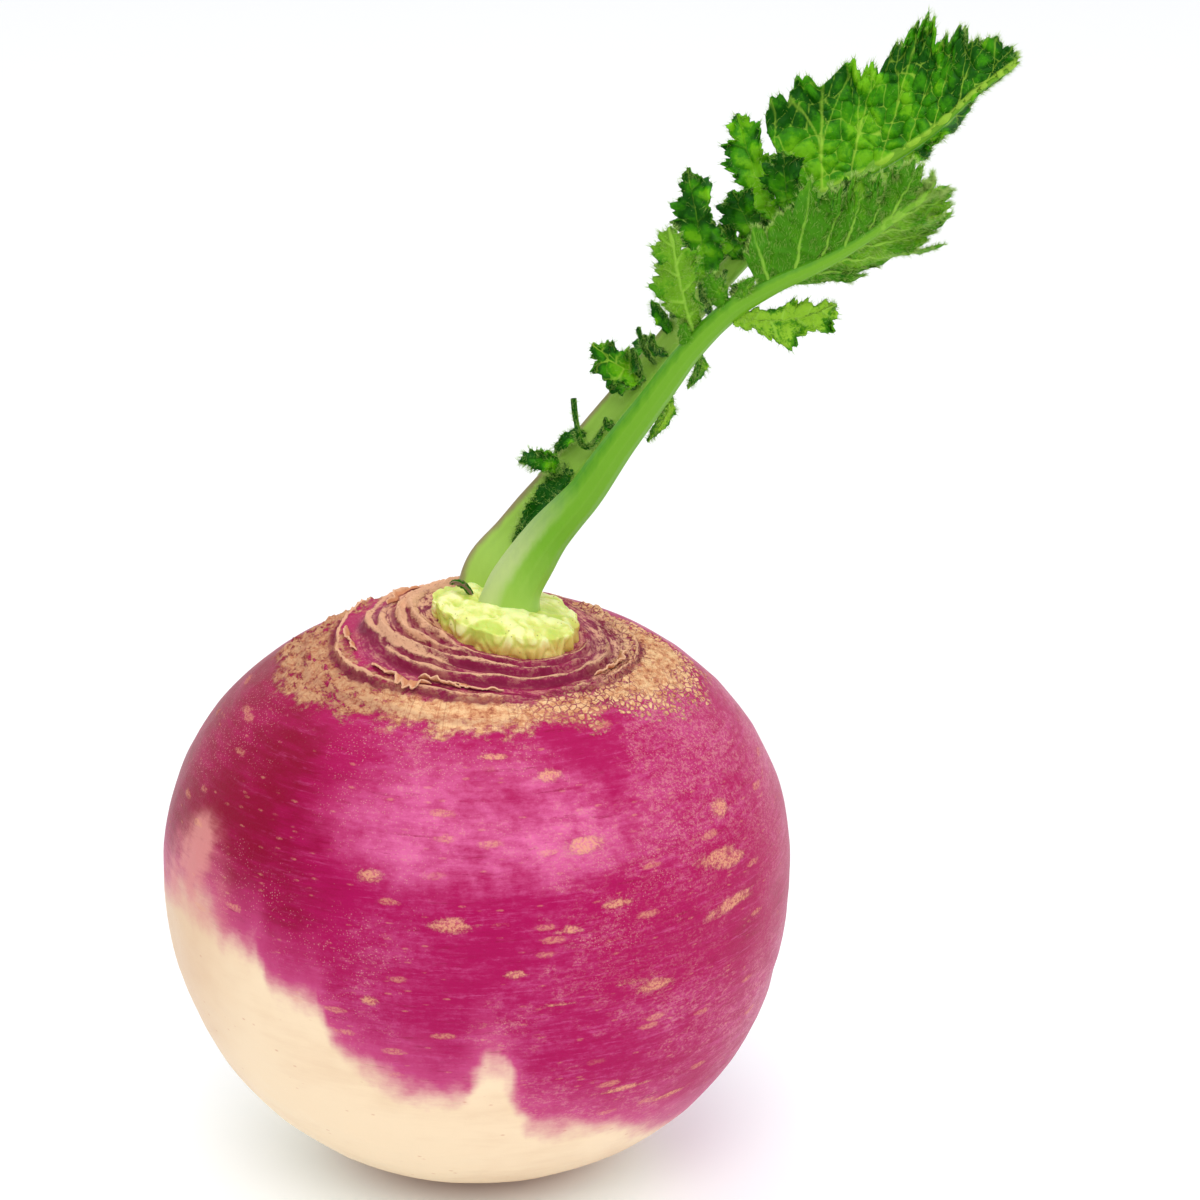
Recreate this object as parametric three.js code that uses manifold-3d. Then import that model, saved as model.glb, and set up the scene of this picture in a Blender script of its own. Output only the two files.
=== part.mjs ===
// A purple-top turnip as it is sold: a swollen white and purple globe on a small flat
// resting spot, its pale green crown on top, and two young leaves on it. Each leaf is a
// stalk that runs on as the midrib of a toothed end blade, with small side lobes below.
// Millimetres, +Z up. The origin is the middle of the resting spot. Seen from the front
// (along +Y) the leaves lean to the right (+X); one stands in front of the other.
import * as THREE from "three";
import { mergeVertices } from "three/addons/utils/BufferGeometryUtils.js";
import Module from "manifold-3d";

const wasm = await Module();
wasm.setup();

// The globe: half widths and heights of its outline, how square its shoulders are, and how
// far it bulges to the right below its middle. Its rings change over from being centred on
// the crown, up to crownRings, to being centred on its own axis, from axisRings.
const globe = {
  radius: 49.6,
  equator: 49.8,
  top: 91,
  upperPower: 2.08,
  lowerPower: 2.19,
  restRadius: 11,
  bulge: 0.7,
  crownRings: 8,
  axisRings: 47,
  segments: 48,
};
// The crown sits a little right of and in front of the globe's middle, and leans right.
// Cut stalks stand out of its rim as knobs, evenly but for a drift round the crown.
const crown = {
  x: 5,
  y: -5.5,
  radius: 11.4,
  top: 93,
  leanX: -0.2,
  leanY: 0.02,
  dome: 0.9,
  knobs: 15,
  knobDrift: 1.3,
  knobDepth: 0.55,
  knobsFrom: 0.55,
  knobsWhole: 0.9,
  segments: 45,
};
// The globe's neck leans with the crown, and levels out between these distances from it.
const neck = { lean: -0.13, from: 10, to: 27 };
// Old leaf scars round the crown, each a raised lip: its distance from the crown's middle,
// how much further out it runs on the side it swings to, its height, the side where it
// stands highest, and the share of its height on the far side. Sides are angles from +X.
const scars = [
  { radius: 13.3, swing: 0.7, swingsTo: 3.1, height: 0.9, high: -1.5, least: 0.5 },
  { radius: 15.8, swing: 2.6, swingsTo: -2.97, height: 1.5, high: -2, least: 0.35 },
  { radius: 18.4, swing: 2, swingsTo: -2.8, height: 1.3, high: -1.3, least: 0.35 },
  { radius: 21.6, swing: 3.6, swingsTo: -2.8, height: 1, high: -2.7, least: 0.15 },
  { radius: 26.8, swing: 1.8, swingsTo: 3.1, height: 0.6, high: 2.9, least: 0.3 },
];
// How fast a lip falls off outwards and inwards, and where the lips fade under the crown.
const lip = { outward: 0.8, inward: 2.2, fadeFrom: 9, fadeTo: 12.5 };
// Stalks: how flat their section is, and how finely they are cut up.
const stalk = { flatness: 0.8, stepsPerPoint: 2, sides: 10 };
// Blades: half their thickness at the midrib and at the margin, where along it each half's
// lobes and teeth begin, and the reach below which a narrow blade ruffles less.
const sheet = { middle: 0.36, margin: 0.34, leftLobes: 0.1, rightLobes: 0.55, rightTeeth: 0.5, narrow: 4 };
// The gap that keeps neighbours from touching.
const skinGap = 0.35;

const skinPurple = 0x9c2462;
const crownYellow = 0xd9e27a;
const stalkGreen = 0x74a832;
const bladeGreen = 0x3f8a24;
const budGreen = 0x4c6b2c;

const clamp01 = (x) => Math.min(1, Math.max(0, x));
const smooth = (low, high, x) => {
  const t = clamp01((x - low) / (high - low));
  return t * t * (3 - 2 * t);
};
const mix = (a, b, t) => a + (b - a) * t;

// Height of the upper half of the plain globe at a distance from its axis.
function upperHeight(distance) {
  const share = Math.pow(Math.min(1, distance / globe.radius), globe.upperPower);
  return globe.equator + (globe.top - globe.equator) * Math.pow(1 - share, 1 / globe.upperPower);
}

// Height of all the lips at a distance and an angle from the crown's middle. A lip is a
// step on its outer side and falls slowly inwards.
function lipHeight(radius, angle) {
  let height = 0;
  for (const scar of scars) {
    const beyond = radius - scar.radius - scar.swing * Math.cos(angle - scar.swingsTo);
    const rise = beyond > 0 ? Math.exp(-beyond / lip.outward) : Math.exp(beyond / lip.inward);
    height += scar.height * rise * mix(scar.least, 1, smooth(0, 0.75, Math.cos(angle - scar.high)));
  }
  return height * smooth(lip.fadeFrom, lip.fadeTo, radius);
}

// A point of the shoulder and neck.
function shoulderPoint(radius, angle) {
  const shift = 1 - smooth(globe.crownRings, globe.axisRings, radius);
  const x = radius * Math.cos(angle) + crown.x * shift;
  const y = radius * Math.sin(angle) + crown.y * shift;
  const leaning = neck.lean * (x - crown.x) * (1 - smooth(neck.from, neck.to, radius));
  return new THREE.Vector3(x, y, upperHeight(Math.hypot(x, y)) + leaning + lipHeight(radius, angle));
}

const flatSlope = Math.asin(Math.pow(globe.restRadius / globe.radius, globe.lowerPower / 2));

// A point of the lower half: a squared circle from the equator down to the resting spot.
function bellyPoint(slope, angle) {
  const radius = globe.radius * Math.pow(Math.sin(slope), 2 / globe.lowerPower);
  const flat = Math.pow(globe.restRadius / globe.radius, globe.lowerPower);
  const depth = globe.equator / Math.pow(1 - flat, 1 / globe.lowerPower);
  const z = globe.equator - depth * Math.pow(Math.cos(slope), 2 / globe.lowerPower);
  const bulge = globe.bulge * Math.max(0, Math.sin(2 * slope) - Math.sin(2 * flatSlope));
  return new THREE.Vector3(radius * Math.cos(angle) + bulge, radius * Math.sin(angle), Math.max(0, z));
}

// A closed mesh from rings of points, with one point at each end.
function closedRings(first, rings, last) {
  const points = [first, ...rings.flat(), last];
  const around = rings[0].length;
  const triangles = [];
  const at = (ring, i) => 1 + ring * around + (i % around);
  for (let i = 0; i < around; i++) {
    triangles.push([0, at(0, i + 1), at(0, i)]);
    triangles.push([points.length - 1, at(rings.length - 1, i), at(rings.length - 1, i + 1)]);
    for (let r = 0; r + 1 < rings.length; r++) {
      triangles.push([at(r, i), at(r, i + 1), at(r + 1, i)]);
      triangles.push([at(r, i + 1), at(r + 1, i + 1), at(r + 1, i)]);
    }
  }
  return geometryOf(points, triangles);
}

function geometryOf(points, triangles) {
  const positions = new Float32Array(points.flatMap((p) => [p.x, p.y, p.z]));
  const made = new THREE.BufferGeometry();
  made.setAttribute("position", new THREE.BufferAttribute(positions, 3));
  made.setIndex(triangles.flat());
  return made;
}

// A manifold-3d solid of a closed geometry.
function solidOf(geometry) {
  const merged = mergeVertices(geometry, 1e-4);
  const triVerts = new Uint32Array(merged.index.array);
  const vertProperties = merged.attributes.position.array;
  return new wasm.Manifold(new wasm.Mesh({ numProp: 3, vertProperties, triVerts }));
}

// The geometry of a solid's largest body, so that a loose scrap of a cut is dropped.
function geometryOfSolid(solid) {
  const bodies = solid.decompose().sort((a, b) => b.volume() - a.volume());
  const mesh = bodies[0].getMesh();
  const made = new THREE.BufferGeometry();
  made.setAttribute("position", new THREE.BufferAttribute(new Float32Array(mesh.vertProperties), 3));
  made.setIndex(new THREE.BufferAttribute(new Uint32Array(mesh.triVerts), 1));
  return made;
}

const angles = (count) => Array.from({ length: count }, (_, i) => (2 * Math.PI * i) / count);

// The globe: belly rings, shoulder rings, then the close rings that hold the leaf scars.
function makeGlobe() {
  const around = angles(globe.segments);
  const bellyRings = 11;
  const shoulderRings = 6;
  const scarOuter = 31;
  const scarInner = 9;
  const scarRings = 24;
  const rings = [];
  for (let i = 0; i <= bellyRings; i++) {
    const slope = mix(flatSlope, Math.PI / 2, i / bellyRings);
    rings.push(around.map((angle) => bellyPoint(slope, angle)));
  }
  for (let i = 1; i < shoulderRings; i++) {
    const slope = mix(Math.PI / 2, Math.asin(scarOuter / globe.radius), i / shoulderRings);
    rings.push(around.map((angle) => shoulderPoint(globe.radius * Math.sin(slope), angle)));
  }
  for (let i = 0; i <= scarRings; i++) {
    const radius = mix(scarOuter, scarInner, i / scarRings);
    rings.push(around.map((angle) => shoulderPoint(radius, angle)));
  }
  return closedRings(new THREE.Vector3(0, 0, 0), rings, shoulderPoint(0, 0));
}

// A point of the crown: share runs from its middle to its rim, and height from its foot on
// the globe to its domed, leaning top. grow swells the whole piece and sinks its foot.
function crownPoint(share, height, angle, grow) {
  const wave = Math.cos(crown.knobs * angle + crown.knobDrift * Math.sin(2 * angle));
  const knob = crown.knobDepth * wave * smooth(crown.knobsFrom, crown.knobsWhole, share);
  const radius = share * (crown.radius + grow) + knob;
  const x = crown.x + radius * Math.cos(angle);
  const y = crown.y + radius * Math.sin(angle);
  const foot = shoulderPoint(radius, angle).z + skinGap - 3 * grow;
  const plane = crown.top + crown.leanX * (x - crown.x) + crown.leanY * (y - crown.y);
  const top = plane + crown.dome * (1 - share * share) + knob / 2 + grow;
  return new THREE.Vector3(x, y, mix(foot, top, height));
}

function makeCrown(grow = 0) {
  const around = angles(crown.segments);
  const outline = [
    { share: 0.5, height: 0 },
    { share: 0.95, height: 0 },
    { share: 1, height: 0.35 },
    { share: 1, height: 0.68 },
    { share: 0.92, height: 0.93 },
    { share: 0.75, height: 1 },
    { share: 0.45, height: 1 },
  ];
  const rings = outline.map((at) => around.map((angle) => crownPoint(at.share, at.height, angle, grow)));
  return closedRings(crownPoint(0, 0, 0, grow), rings, crownPoint(0, 1, 0, grow));
}

// A stalk: a tube along a smooth path with a half width at each of its points. Its
// section is an oval, hollowed a little by a channel along the side that faces the crown.
function makeStalk(leaf) {
  const path = new THREE.CatmullRomCurve3(leaf.path, false, "catmullrom", 0.5);
  const last = leaf.path.length - 1;
  const steps = last * stalk.stepsPerPoint;
  const rings = [];
  for (let i = 0; i <= steps; i++) {
    const along = i / steps;
    const { across, up } = frameAt((u) => path.getPoint(u), along, leaf.face);
    const spot = along * last;
    const before = Math.min(last - 1, Math.floor(spot));
    const half = mix(leaf.halfWidths[before], leaf.halfWidths[before + 1], spot - before);
    rings.push(
      angles(stalk.sides).map((angle) => {
        const rise = Math.sin(angle);
        const channel = leaf.channel * Math.max(0, rise) ** 3;
        return path
          .getPoint(along)
          .addScaledVector(across, half * Math.cos(angle))
          .addScaledVector(up, stalk.flatness * half * (rise - channel));
      }),
    );
  }
  return closedRings(path.getPoint(0), rings, path.getPoint(1));
}

// Directions at a place along a spine: forward, across to the left, and up to the face.
function frameAt(spine, along, face) {
  const step = 0.01;
  const ahead = spine(Math.min(1, along + step));
  const forward = ahead.sub(spine(Math.max(0, along - step))).normalize();
  const across = new THREE.Vector3().crossVectors(face, forward).normalize();
  const up = new THREE.Vector3().crossVectors(forward, across).normalize();
  return { forward, across, up };
}

// The value of a list of evenly spaced figures at a share of its length.
function sampled(list, share) {
  const spot = clamp01(share) * (list.length - 1);
  const before = Math.min(list.length - 2, Math.floor(spot));
  return mix(list[before], list[before + 1], spot - before);
}

// How far a blade's half reaches from the midrib, with lobes cut into its margin and
// saw teeth on them.
function marginReach(blade, side, along) {
  const [full, reach] = side > 0 ? [blade.left, blade.leftReach] : [blade.right, blade.rightReach];
  const lobes = blade.cuts * along + (side > 0 ? sheet.leftLobes : sheet.rightLobes);
  const notch = Math.pow(0.5 + 0.5 * Math.cos(2 * Math.PI * lobes), 3);
  const teeth = blade.teeth * along + (side > 0 ? 0 : sheet.rightTeeth);
  const tooth = teeth - Math.floor(teeth);
  return full * sampled(reach, along) * (1 - blade.cutDepth * notch) * (1 - blade.toothDepth * tooth);
}

// A point of a blade's middle surface. along runs base to tip; out runs from the right
// margin (-1) over the midrib (0) to the left margin (+1). The halves fold up towards the
// face and curl more towards the margin. They sweep forward like the side veins and ruffle.
function bladePoint(spine, blade, along, out) {
  const { forward, across, up } = frameAt(spine, along, blade.face);
  const side = Math.sign(out) || 1;
  const share = Math.abs(out);
  const reach = marginReach(blade, side, along);
  const sweep = THREE.MathUtils.degToRad(sampled(side > 0 ? blade.leftSweep : blade.rightSweep, along));
  const fold = (side > 0 ? blade.foldLeft : blade.foldRight) + blade.curl * share;
  const wave = Math.sin(2 * Math.PI * blade.waves * along + blade.phase + side);
  const ruffle = blade.ruffle * share ** 1.5 * Math.min(1, reach / sheet.narrow) * wave;
  return spine(along)
    .addScaledVector(across, side * share * reach * Math.cos(fold) * Math.cos(sweep))
    .addScaledVector(up, share * reach * Math.sin(fold) * Math.cos(sweep) + ruffle)
    .addScaledVector(forward, share * reach * Math.sin(sweep));
}

// A blade as a closed sheet, split into triangles alike on both faces.
function makeBlade(spine, blade) {
  const { rows } = blade;
  const [rightColumns, leftColumns] = blade.columns;
  const outs = [];
  for (let j = -rightColumns; j <= leftColumns; j++) outs.push(j < 0 ? j / rightColumns : j / leftColumns);
  const middle = [];
  for (let i = 0; i <= rows; i++) middle.push(outs.map((out) => bladePoint(spine, blade, i / rows, out)));
  const wide = outs.length;
  const faces = [[], []];
  for (let i = 0; i <= rows; i++) {
    for (let j = 0; j < wide; j++) {
      const alongRow = middle[Math.min(rows, i + 1)][j].clone().sub(middle[Math.max(0, i - 1)][j]);
      const acrossRow = middle[i][Math.min(wide - 1, j + 1)].clone().sub(middle[i][Math.max(0, j - 1)]);
      const normal = new THREE.Vector3().crossVectors(acrossRow, alongRow).normalize();
      const half = mix(sheet.middle, sheet.margin, Math.abs(outs[j]));
      faces[0].push(middle[i][j].clone().addScaledVector(normal, half));
      faces[1].push(middle[i][j].clone().addScaledVector(normal, -half));
    }
  }
  const count = faces[0].length;
  const at = (i, j, under) => i * wide + j + under * count;
  const triangles = [];
  for (let i = 0; i < rows; i++) {
    for (let j = 0; j + 1 < wide; j++) {
      const [a, b, c, d] = [[i, j], [i, j + 1], [i + 1, j + 1], [i + 1, j]];
      triangles.push([at(...a, 0), at(...b, 0), at(...c, 0)], [at(...a, 0), at(...c, 0), at(...d, 0)]);
      triangles.push([at(...a, 1), at(...c, 1), at(...b, 1)], [at(...a, 1), at(...d, 1), at(...c, 1)]);
    }
  }
  const rim = [];
  for (let j = 0; j < wide; j++) rim.push([0, j]);
  for (let i = 1; i <= rows; i++) rim.push([i, wide - 1]);
  for (let j = wide - 2; j >= 0; j--) rim.push([rows, j]);
  for (let i = rows - 1; i > 0; i--) rim.push([i, 0]);
  rim.forEach((here, k) => {
    const next = rim[(k + 1) % rim.length];
    triangles.push([at(...here, 0), at(...here, 1), at(...next, 1)]);
    triangles.push([at(...here, 0), at(...next, 1), at(...next, 0)]);
  });
  return geometryOf([...faces[0], ...faces[1]], triangles);
}

const v = (x, y, z) => new THREE.Vector3(x, y, z);

// What a side lobe has unless it says otherwise: its greatest half widths, the share of
// them reached at even steps along it, how far its side veins sweep forward in degrees,
// and in radians how far its halves fold up and curl.
const plainLobe = {
  left: 4,
  right: 4,
  leftReach: [0.25, 0.6, 0.95, 1, 0.7, 0.03],
  rightReach: [0.25, 0.6, 0.95, 1, 0.7, 0.03],
  leftSweep: [0, 10, 20, 30, 40, 50],
  rightSweep: [0, 10, 20, 30, 40, 50],
  cuts: 2.5,
  cutDepth: 0.38,
  teeth: 7,
  toothDepth: 0.25,
  foldLeft: 0.2,
  foldRight: 0.2,
  curl: 0.25,
  ruffle: 0.9,
  waves: 2.5,
  phase: 0,
  rows: 14,
  columns: [2, 2],
};
const tinyLobe = {
  ...plainLobe,
  left: 1.6,
  right: 1.6,
  cutDepth: 0.2,
  teeth: 4,
  ruffle: 0.5,
  rows: 8,
  columns: [1, 1],
};

const frontLeaf = {
  face: v(-0.2, 0.9, 0.35),
  channel: 0.25,
  path: [
    v(4.9, -5.5, 90.5),
    v(6.6, -5, 96.5),
    v(11.4, -4.6, 104),
    v(17.3, -5, 111.2),
    v(22.3, -6, 118.8),
    v(27.7, -7, 126.5),
    v(32.7, -8, 133.7),
    v(38.8, -8.8, 140.2),
    v(45.3, -9.3, 144.2),
    v(53, -9.8, 148),
    v(60, -10.4, 152.6),
    v(67.8, -11.2, 158.7),
  ],
  halfWidths: [5, 4.4, 3.6, 2.9, 2.5, 2.2, 1.95, 1.75, 1.4, 1.1, 0.8, 0.5],
  blade: {
    ...plainLobe,
    from: 0.7,
    left: 20.5,
    right: 14.5,
    leftReach: [0.2, 0.72, 1, 0.78, 0.5, 0.08],
    rightReach: [0.5, 0.95, 0.92, 0.78, 0.64, 0.08],
    leftSweep: [55, 54, 52, 50, 56, 75],
    rightSweep: [3, 34, 48, 54, 60, 75],
    cuts: 4,
    cutDepth: 0.22,
    teeth: 13,
    toothDepth: 0.16,
    foldLeft: 0.2,
    foldRight: 0.3,
    ruffle: 1.5,
    waves: 3.5,
    rows: 30,
    columns: [6, 6],
  },
  lobes: [
    // Up and left of the stalk, in front of the other leaf.
    {
      at: v(33.4, -8, 136.4),
      bend: v(30.9, -12, 144),
      tip: v(29.6, -12, 153.4),
      left: 4.2,
      right: 4.8,
      rows: 18,
    },
    // Below the end blade, to the right, its toothed lower half spread out.
    {
      at: v(39.3, -8.7, 139.2),
      bend: v(47, -7.4, 137.2),
      tip: v(54.6, -6, 140.4),
      face: v(0.1, -0.8, 0.5),
      left: 3.6,
      right: 5.2,
      foldLeft: 0.5,
      foldRight: 0.1,
      rows: 18,
    },
    {
      ...tinyLobe,
      at: v(38.5, -8.8, 139.8),
      bend: v(37, -10, 142.5),
      tip: v(35.5, -10, 146),
      left: 2.4,
      right: 2.4,
    },
    // Two small drooping lobes on the stalk's right side.
    {
      ...tinyLobe,
      at: v(28.6, -6.8, 127.4),
      bend: v(31.4, -4.6, 124.8),
      tip: v(26.6, -3.8, 118.8),
      face: v(0.3, -0.9, 0.1),
      left: 1.8,
      right: 1.9,
      rows: 12,
      columns: [2, 2],
    },
    {
      ...tinyLobe,
      at: v(33, -7.6, 133.8),
      bend: v(36, -5.6, 131.6),
      tip: v(32.6, -4.6, 127.4),
      face: v(0.3, -0.9, 0.1),
      left: 1.5,
      right: 1.5,
    },
  ],
};

const rearLeaf = {
  face: v(-0.3, -0.85, 0.4),
  channel: 0.45,
  path: [
    v(0.4, 0.8, 91.6),
    v(1.6, 1.8, 97.2),
    v(6, 3.4, 102.2),
    v(11.6, 4, 108.8),
    v(16.7, 4.5, 115.1),
    v(21.5, 5, 121.3),
    v(26.2, 5.5, 127.2),
    v(35, 6.5, 138.3),
    v(42.8, 7.2, 146.6),
    v(49.7, 7.6, 152.6),
    v(56.5, 8, 156.3),
    v(63.4, 8, 159.9),
    v(69.5, 7, 164.3),
    v(75.1, 6, 169.7),
    v(81.2, 5, 174.6),
  ],
  halfWidths: [3.4, 3.2, 3.1, 3, 2.8, 2.5, 2.2, 1.9, 1.6, 1.4, 1.2, 1, 0.8, 0.6, 0.4],
  blade: {
    ...plainLobe,
    from: 0.643,
    left: 23,
    right: 8,
    leftReach: [0.72, 0.9, 1, 0.72, 0.42, 0.05],
    rightReach: [1, 1, 0.7, 0.4, 0.25, 0.1],
    leftSweep: [11, 36, 46, 52, 62, 75],
    rightSweep: [10, 30, 40, 45, 50, 70],
    cuts: 4,
    cutDepth: 0.16,
    teeth: 17,
    toothDepth: 0.12,
    foldLeft: 0.12,
    foldRight: -1.3,
    ruffle: 1.8,
    waves: 3,
    rows: 36,
    columns: [2, 8],
  },
  lobes: [
    // The tall lobe that stands between the leaf's end and its middle, and those at its foot.
    {
      at: v(46, 7.3, 149.6),
      bend: v(42.4, 9.5, 157.4),
      tip: v(40.4, 13, 165.7),
      left: 4.4,
      right: 4.6,
      rows: 20,
    },
    { at: v(43.6, 7.2, 147.2), bend: v(41.4, 3, 151), tip: v(39.4, 2, 156), left: 3.8, right: 4.2 },
    {
      at: v(48.6, 7.5, 151.8),
      bend: v(47.2, 4, 155),
      tip: v(47, 3.4, 161.6),
      left: 4.2,
      right: 4.6,
    },
    {
      at: v(40.6, 7, 144.4),
      bend: v(39.8, 4.5, 147),
      tip: v(37.4, 3.4, 150.6),
      left: 3,
      right: 3.2,
      rows: 12,
    },
    {
      at: v(41.8, 7.1, 145.6),
      bend: v(43.4, 3.6, 145.8),
      tip: v(46, 2, 148.4),
      left: 2.6,
      right: 2.6,
      rows: 10,
    },
    // The pair of tall lobes at half height.
    {
      at: v(36, 6.6, 139),
      bend: v(34.6, 1, 149.8),
      tip: v(32.6, 0, 159.8),
      left: 4.6,
      right: 5.2,
      rows: 20,
    },
    { at: v(37.6, 6.8, 141), bend: v(38.6, 9, 143.6), tip: v(38, 12, 146.8), left: 2, right: 2.2 },
    // The fan of low lobes.
    {
      at: v(26.4, 5.5, 127),
      bend: v(22.5, 0.5, 128),
      tip: v(18.4, -0.8, 133.2),
      left: 4.6,
      right: 4.4,
    },
    {
      at: v(27.4, 5.6, 128.4),
      bend: v(26.4, 8, 128.4),
      tip: v(25.6, 10.6, 131.2),
      left: 3.6,
      right: 3.6,
    },
    {
      at: v(25.4, 5.4, 126),
      bend: v(23, 3, 126.4),
      tip: v(21, 1.6, 125.2),
      left: 2.6,
      right: 2.6,
      rows: 10,
    },
    { ...tinyLobe, at: v(30.6, 6, 132.8), bend: v(29, 5, 135.5), tip: v(27.2, 4.4, 138.6) },
    {
      ...tinyLobe,
      at: v(32.4, 6.2, 135),
      bend: v(30.4, 4, 136),
      tip: v(30, 4, 140),
      left: 1.2,
      right: 1.2,
    },
    // Curled and frilled scraps of blade low on the stalk.
    {
      ...tinyLobe,
      at: v(20.8, 4.8, 120.4),
      bend: v(16.4, -1.6, 111),
      tip: v(15.4, 0.4, 124.4),
      left: 1.1,
      right: 1.1,
      foldLeft: 0.8,
      foldRight: 0.8,
      rows: 14,
    },
    { ...tinyLobe, at: v(17.6, 4.6, 117.6), bend: v(15, 2.8, 118.6), tip: v(12.4, 3.4, 114.8) },
    {
      ...tinyLobe,
      at: v(13, 3.8, 110.6),
      bend: v(12.2, 0.2, 116),
      tip: v(7, 0.2, 114.4),
      left: 2.6,
      right: 2.6,
      rows: 12,
      columns: [2, 2],
    },
    {
      at: v(15.8, 4.2, 113.6),
      bend: v(12, 0.4, 110),
      tip: v(6, 1.3, 101.4),
      left: 3.2,
      right: 2.8,
      ruffle: 0.6,
      cutDepth: 0.25,
    },
    // Lobes on the far side of the midrib, under the end blade.
    {
      at: v(54, 8, 155),
      bend: v(61, 11.5, 154.2),
      tip: v(68, 14, 156.2),
      left: 3.8,
      right: 4.6,
      rows: 16,
    },
    {
      at: v(48.2, 7.8, 151.4),
      bend: v(56, 5, 152.8),
      tip: v(63.4, 3.6, 156.4),
      left: 4.4,
      right: 4.8,
      rows: 16,
    },
  ],
};

// A stalk, its end blade and its side lobes as one solid, standing just clear of the crown.
function makeLeaf(leaf) {
  const path = new THREE.CatmullRomCurve3(leaf.path, false, "catmullrom", 0.5);
  const midrib = (along) => path.getPoint(mix(leaf.blade.from, 1, along));
  let solid = solidOf(makeStalk(leaf));
  solid = solid.add(solidOf(makeBlade(midrib, { face: leaf.face, ...leaf.blade })));
  for (const lobe of leaf.lobes) {
    const spine = new THREE.QuadraticBezierCurve3(lobe.at, lobe.bend, lobe.tip);
    const blade = { face: leaf.face, ...plainLobe, ...lobe };
    solid = solid.add(solidOf(makeBlade((along) => spine.getPoint(along), blade)));
  }
  return geometryOfSolid(solid.subtract(solidOf(makeCrown(skinGap))));
}

// The bud that never opened: a curled green scrap at the crown's left edge.
function makeBud() {
  const root = v(0.4, -4.6, 93.4);
  const tip = v(-3.6, -4.8, 96.4);
  const spine = new THREE.QuadraticBezierCurve3(root, v(-1.6, -4.4, 97.4), tip);
  const blade = { ...tinyLobe, face: v(0, -0.9, 0.4), left: 1, right: 1, rows: 10 };
  const solid = solidOf(makeBlade((along) => spine.getPoint(along), blade));
  return geometryOfSolid(solid.subtract(solidOf(makeCrown(skinGap))));
}

function named(name, geometry, color, roughness) {
  geometry.computeVertexNormals();
  const material = new THREE.MeshStandardMaterial({ color, roughness, metalness: 0 });
  const mesh = new THREE.Mesh(geometry, material);
  mesh.name = name;
  return mesh;
}

const turnip = new THREE.Group();
turnip.add(named("globe", makeGlobe(), skinPurple, 0.42));
turnip.add(named("crown", makeCrown(), crownYellow, 0.55));
turnip.add(named("leaf_front", makeLeaf(frontLeaf), stalkGreen, 0.5));
turnip.add(named("leaf_rear", makeLeaf(rearLeaf), bladeGreen, 0.55));
turnip.add(named("bud", makeBud(), budGreen, 0.6));

export default turnip;
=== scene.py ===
"""A purple-top turnip, dressed for the eye: skin, corky shoulder, crown and hairy leaves.

Shapes are worked out in millimetres as whole arrays and turned into metres when a mesh is
made. Every surface is a function of two parameters on a grid, and follows the solid it
replaces, with the fine relief that the solid is too coarse for.
"""
from types import SimpleNamespace

import bpy
import numpy as np
from bpy.props import FloatProperty, FloatVectorProperty, IntProperty, PointerProperty
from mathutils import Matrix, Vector


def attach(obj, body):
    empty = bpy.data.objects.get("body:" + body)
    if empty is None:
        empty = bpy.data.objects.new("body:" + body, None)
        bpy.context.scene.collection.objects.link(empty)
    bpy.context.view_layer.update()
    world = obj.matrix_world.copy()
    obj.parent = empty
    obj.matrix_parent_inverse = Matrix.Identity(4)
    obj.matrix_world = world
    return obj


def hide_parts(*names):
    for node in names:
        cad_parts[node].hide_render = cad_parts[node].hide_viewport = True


bl_info = {
    "name": "Purple-top turnip",
    "version": (1, 0, 0),
    "blender": (4, 5, 0),
    "location": "3D View > Sidebar > Turnip",
    "description": "Skin, crown, leaves and stage of a purple-top turnip",
    "category": "Object",
}

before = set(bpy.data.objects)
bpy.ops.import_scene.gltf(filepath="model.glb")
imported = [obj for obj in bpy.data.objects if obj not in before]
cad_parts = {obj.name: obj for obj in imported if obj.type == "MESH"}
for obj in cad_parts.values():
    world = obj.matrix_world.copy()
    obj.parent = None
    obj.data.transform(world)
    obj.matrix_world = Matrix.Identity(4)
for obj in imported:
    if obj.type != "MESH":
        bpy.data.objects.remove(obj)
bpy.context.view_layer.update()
MM = 0.001
TAU = 2 * np.pi

# The globe's outline in millimetres, as the solid has it.
GLOBE_RADIUS = 49.6
EQUATOR = 49.8
TOP = 91.0
UPPER_POWER = 2.08
LOWER_POWER = 2.19
REST_RADIUS = 11.0
BULGE = 0.7
NECK_LEAN = -0.13

# The crown's middle, size and lean.
CROWN_X, CROWN_Y = 5.0, -5.5
CROWN_RADIUS = 11.4
CROWN_TOP = 93.0
CROWN_LEAN_X, CROWN_LEAN_Y = -0.2, 0.02

# Lips of the old leaf scars round the crown: radius in millimetres, how much it swings
# outwards and towards which angle, height, the angle where it stands highest, and how much
# of that height is left on the far side.
LIPS = (
    (13.3, 0.7, 3.1, 0.9, -1.5, 0.5),
    (12.9, 1.2, 3.0, 1.3, 2.9, 0.0),
    (14.2, 1.7, 3.1, 1.3, 3.1, 0.0),
    (15.8, 2.6, -2.97, 1.6, -2.0, 0.35),
    (17.2, 2.6, -3.0, 1.1, -3.0, 0.0),
    (18.4, 2.0, -2.8, 1.5, -1.3, 0.35),
    (21.2, 3.6, -2.8, 1.1, -2.7, 0.15),
    (20.4, 1.0, -0.2, 0.9, 0.1, 0.0),
    (26.8, 1.8, 3.1, 0.25, -2.6, 0.0),
)
LIP_STEP = 0.3
LIP_SLOPE = 1.5
FLAT_SLOPE = np.arcsin((REST_RADIUS / GLOBE_RADIUS) ** (LOWER_POWER / 2))


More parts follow.
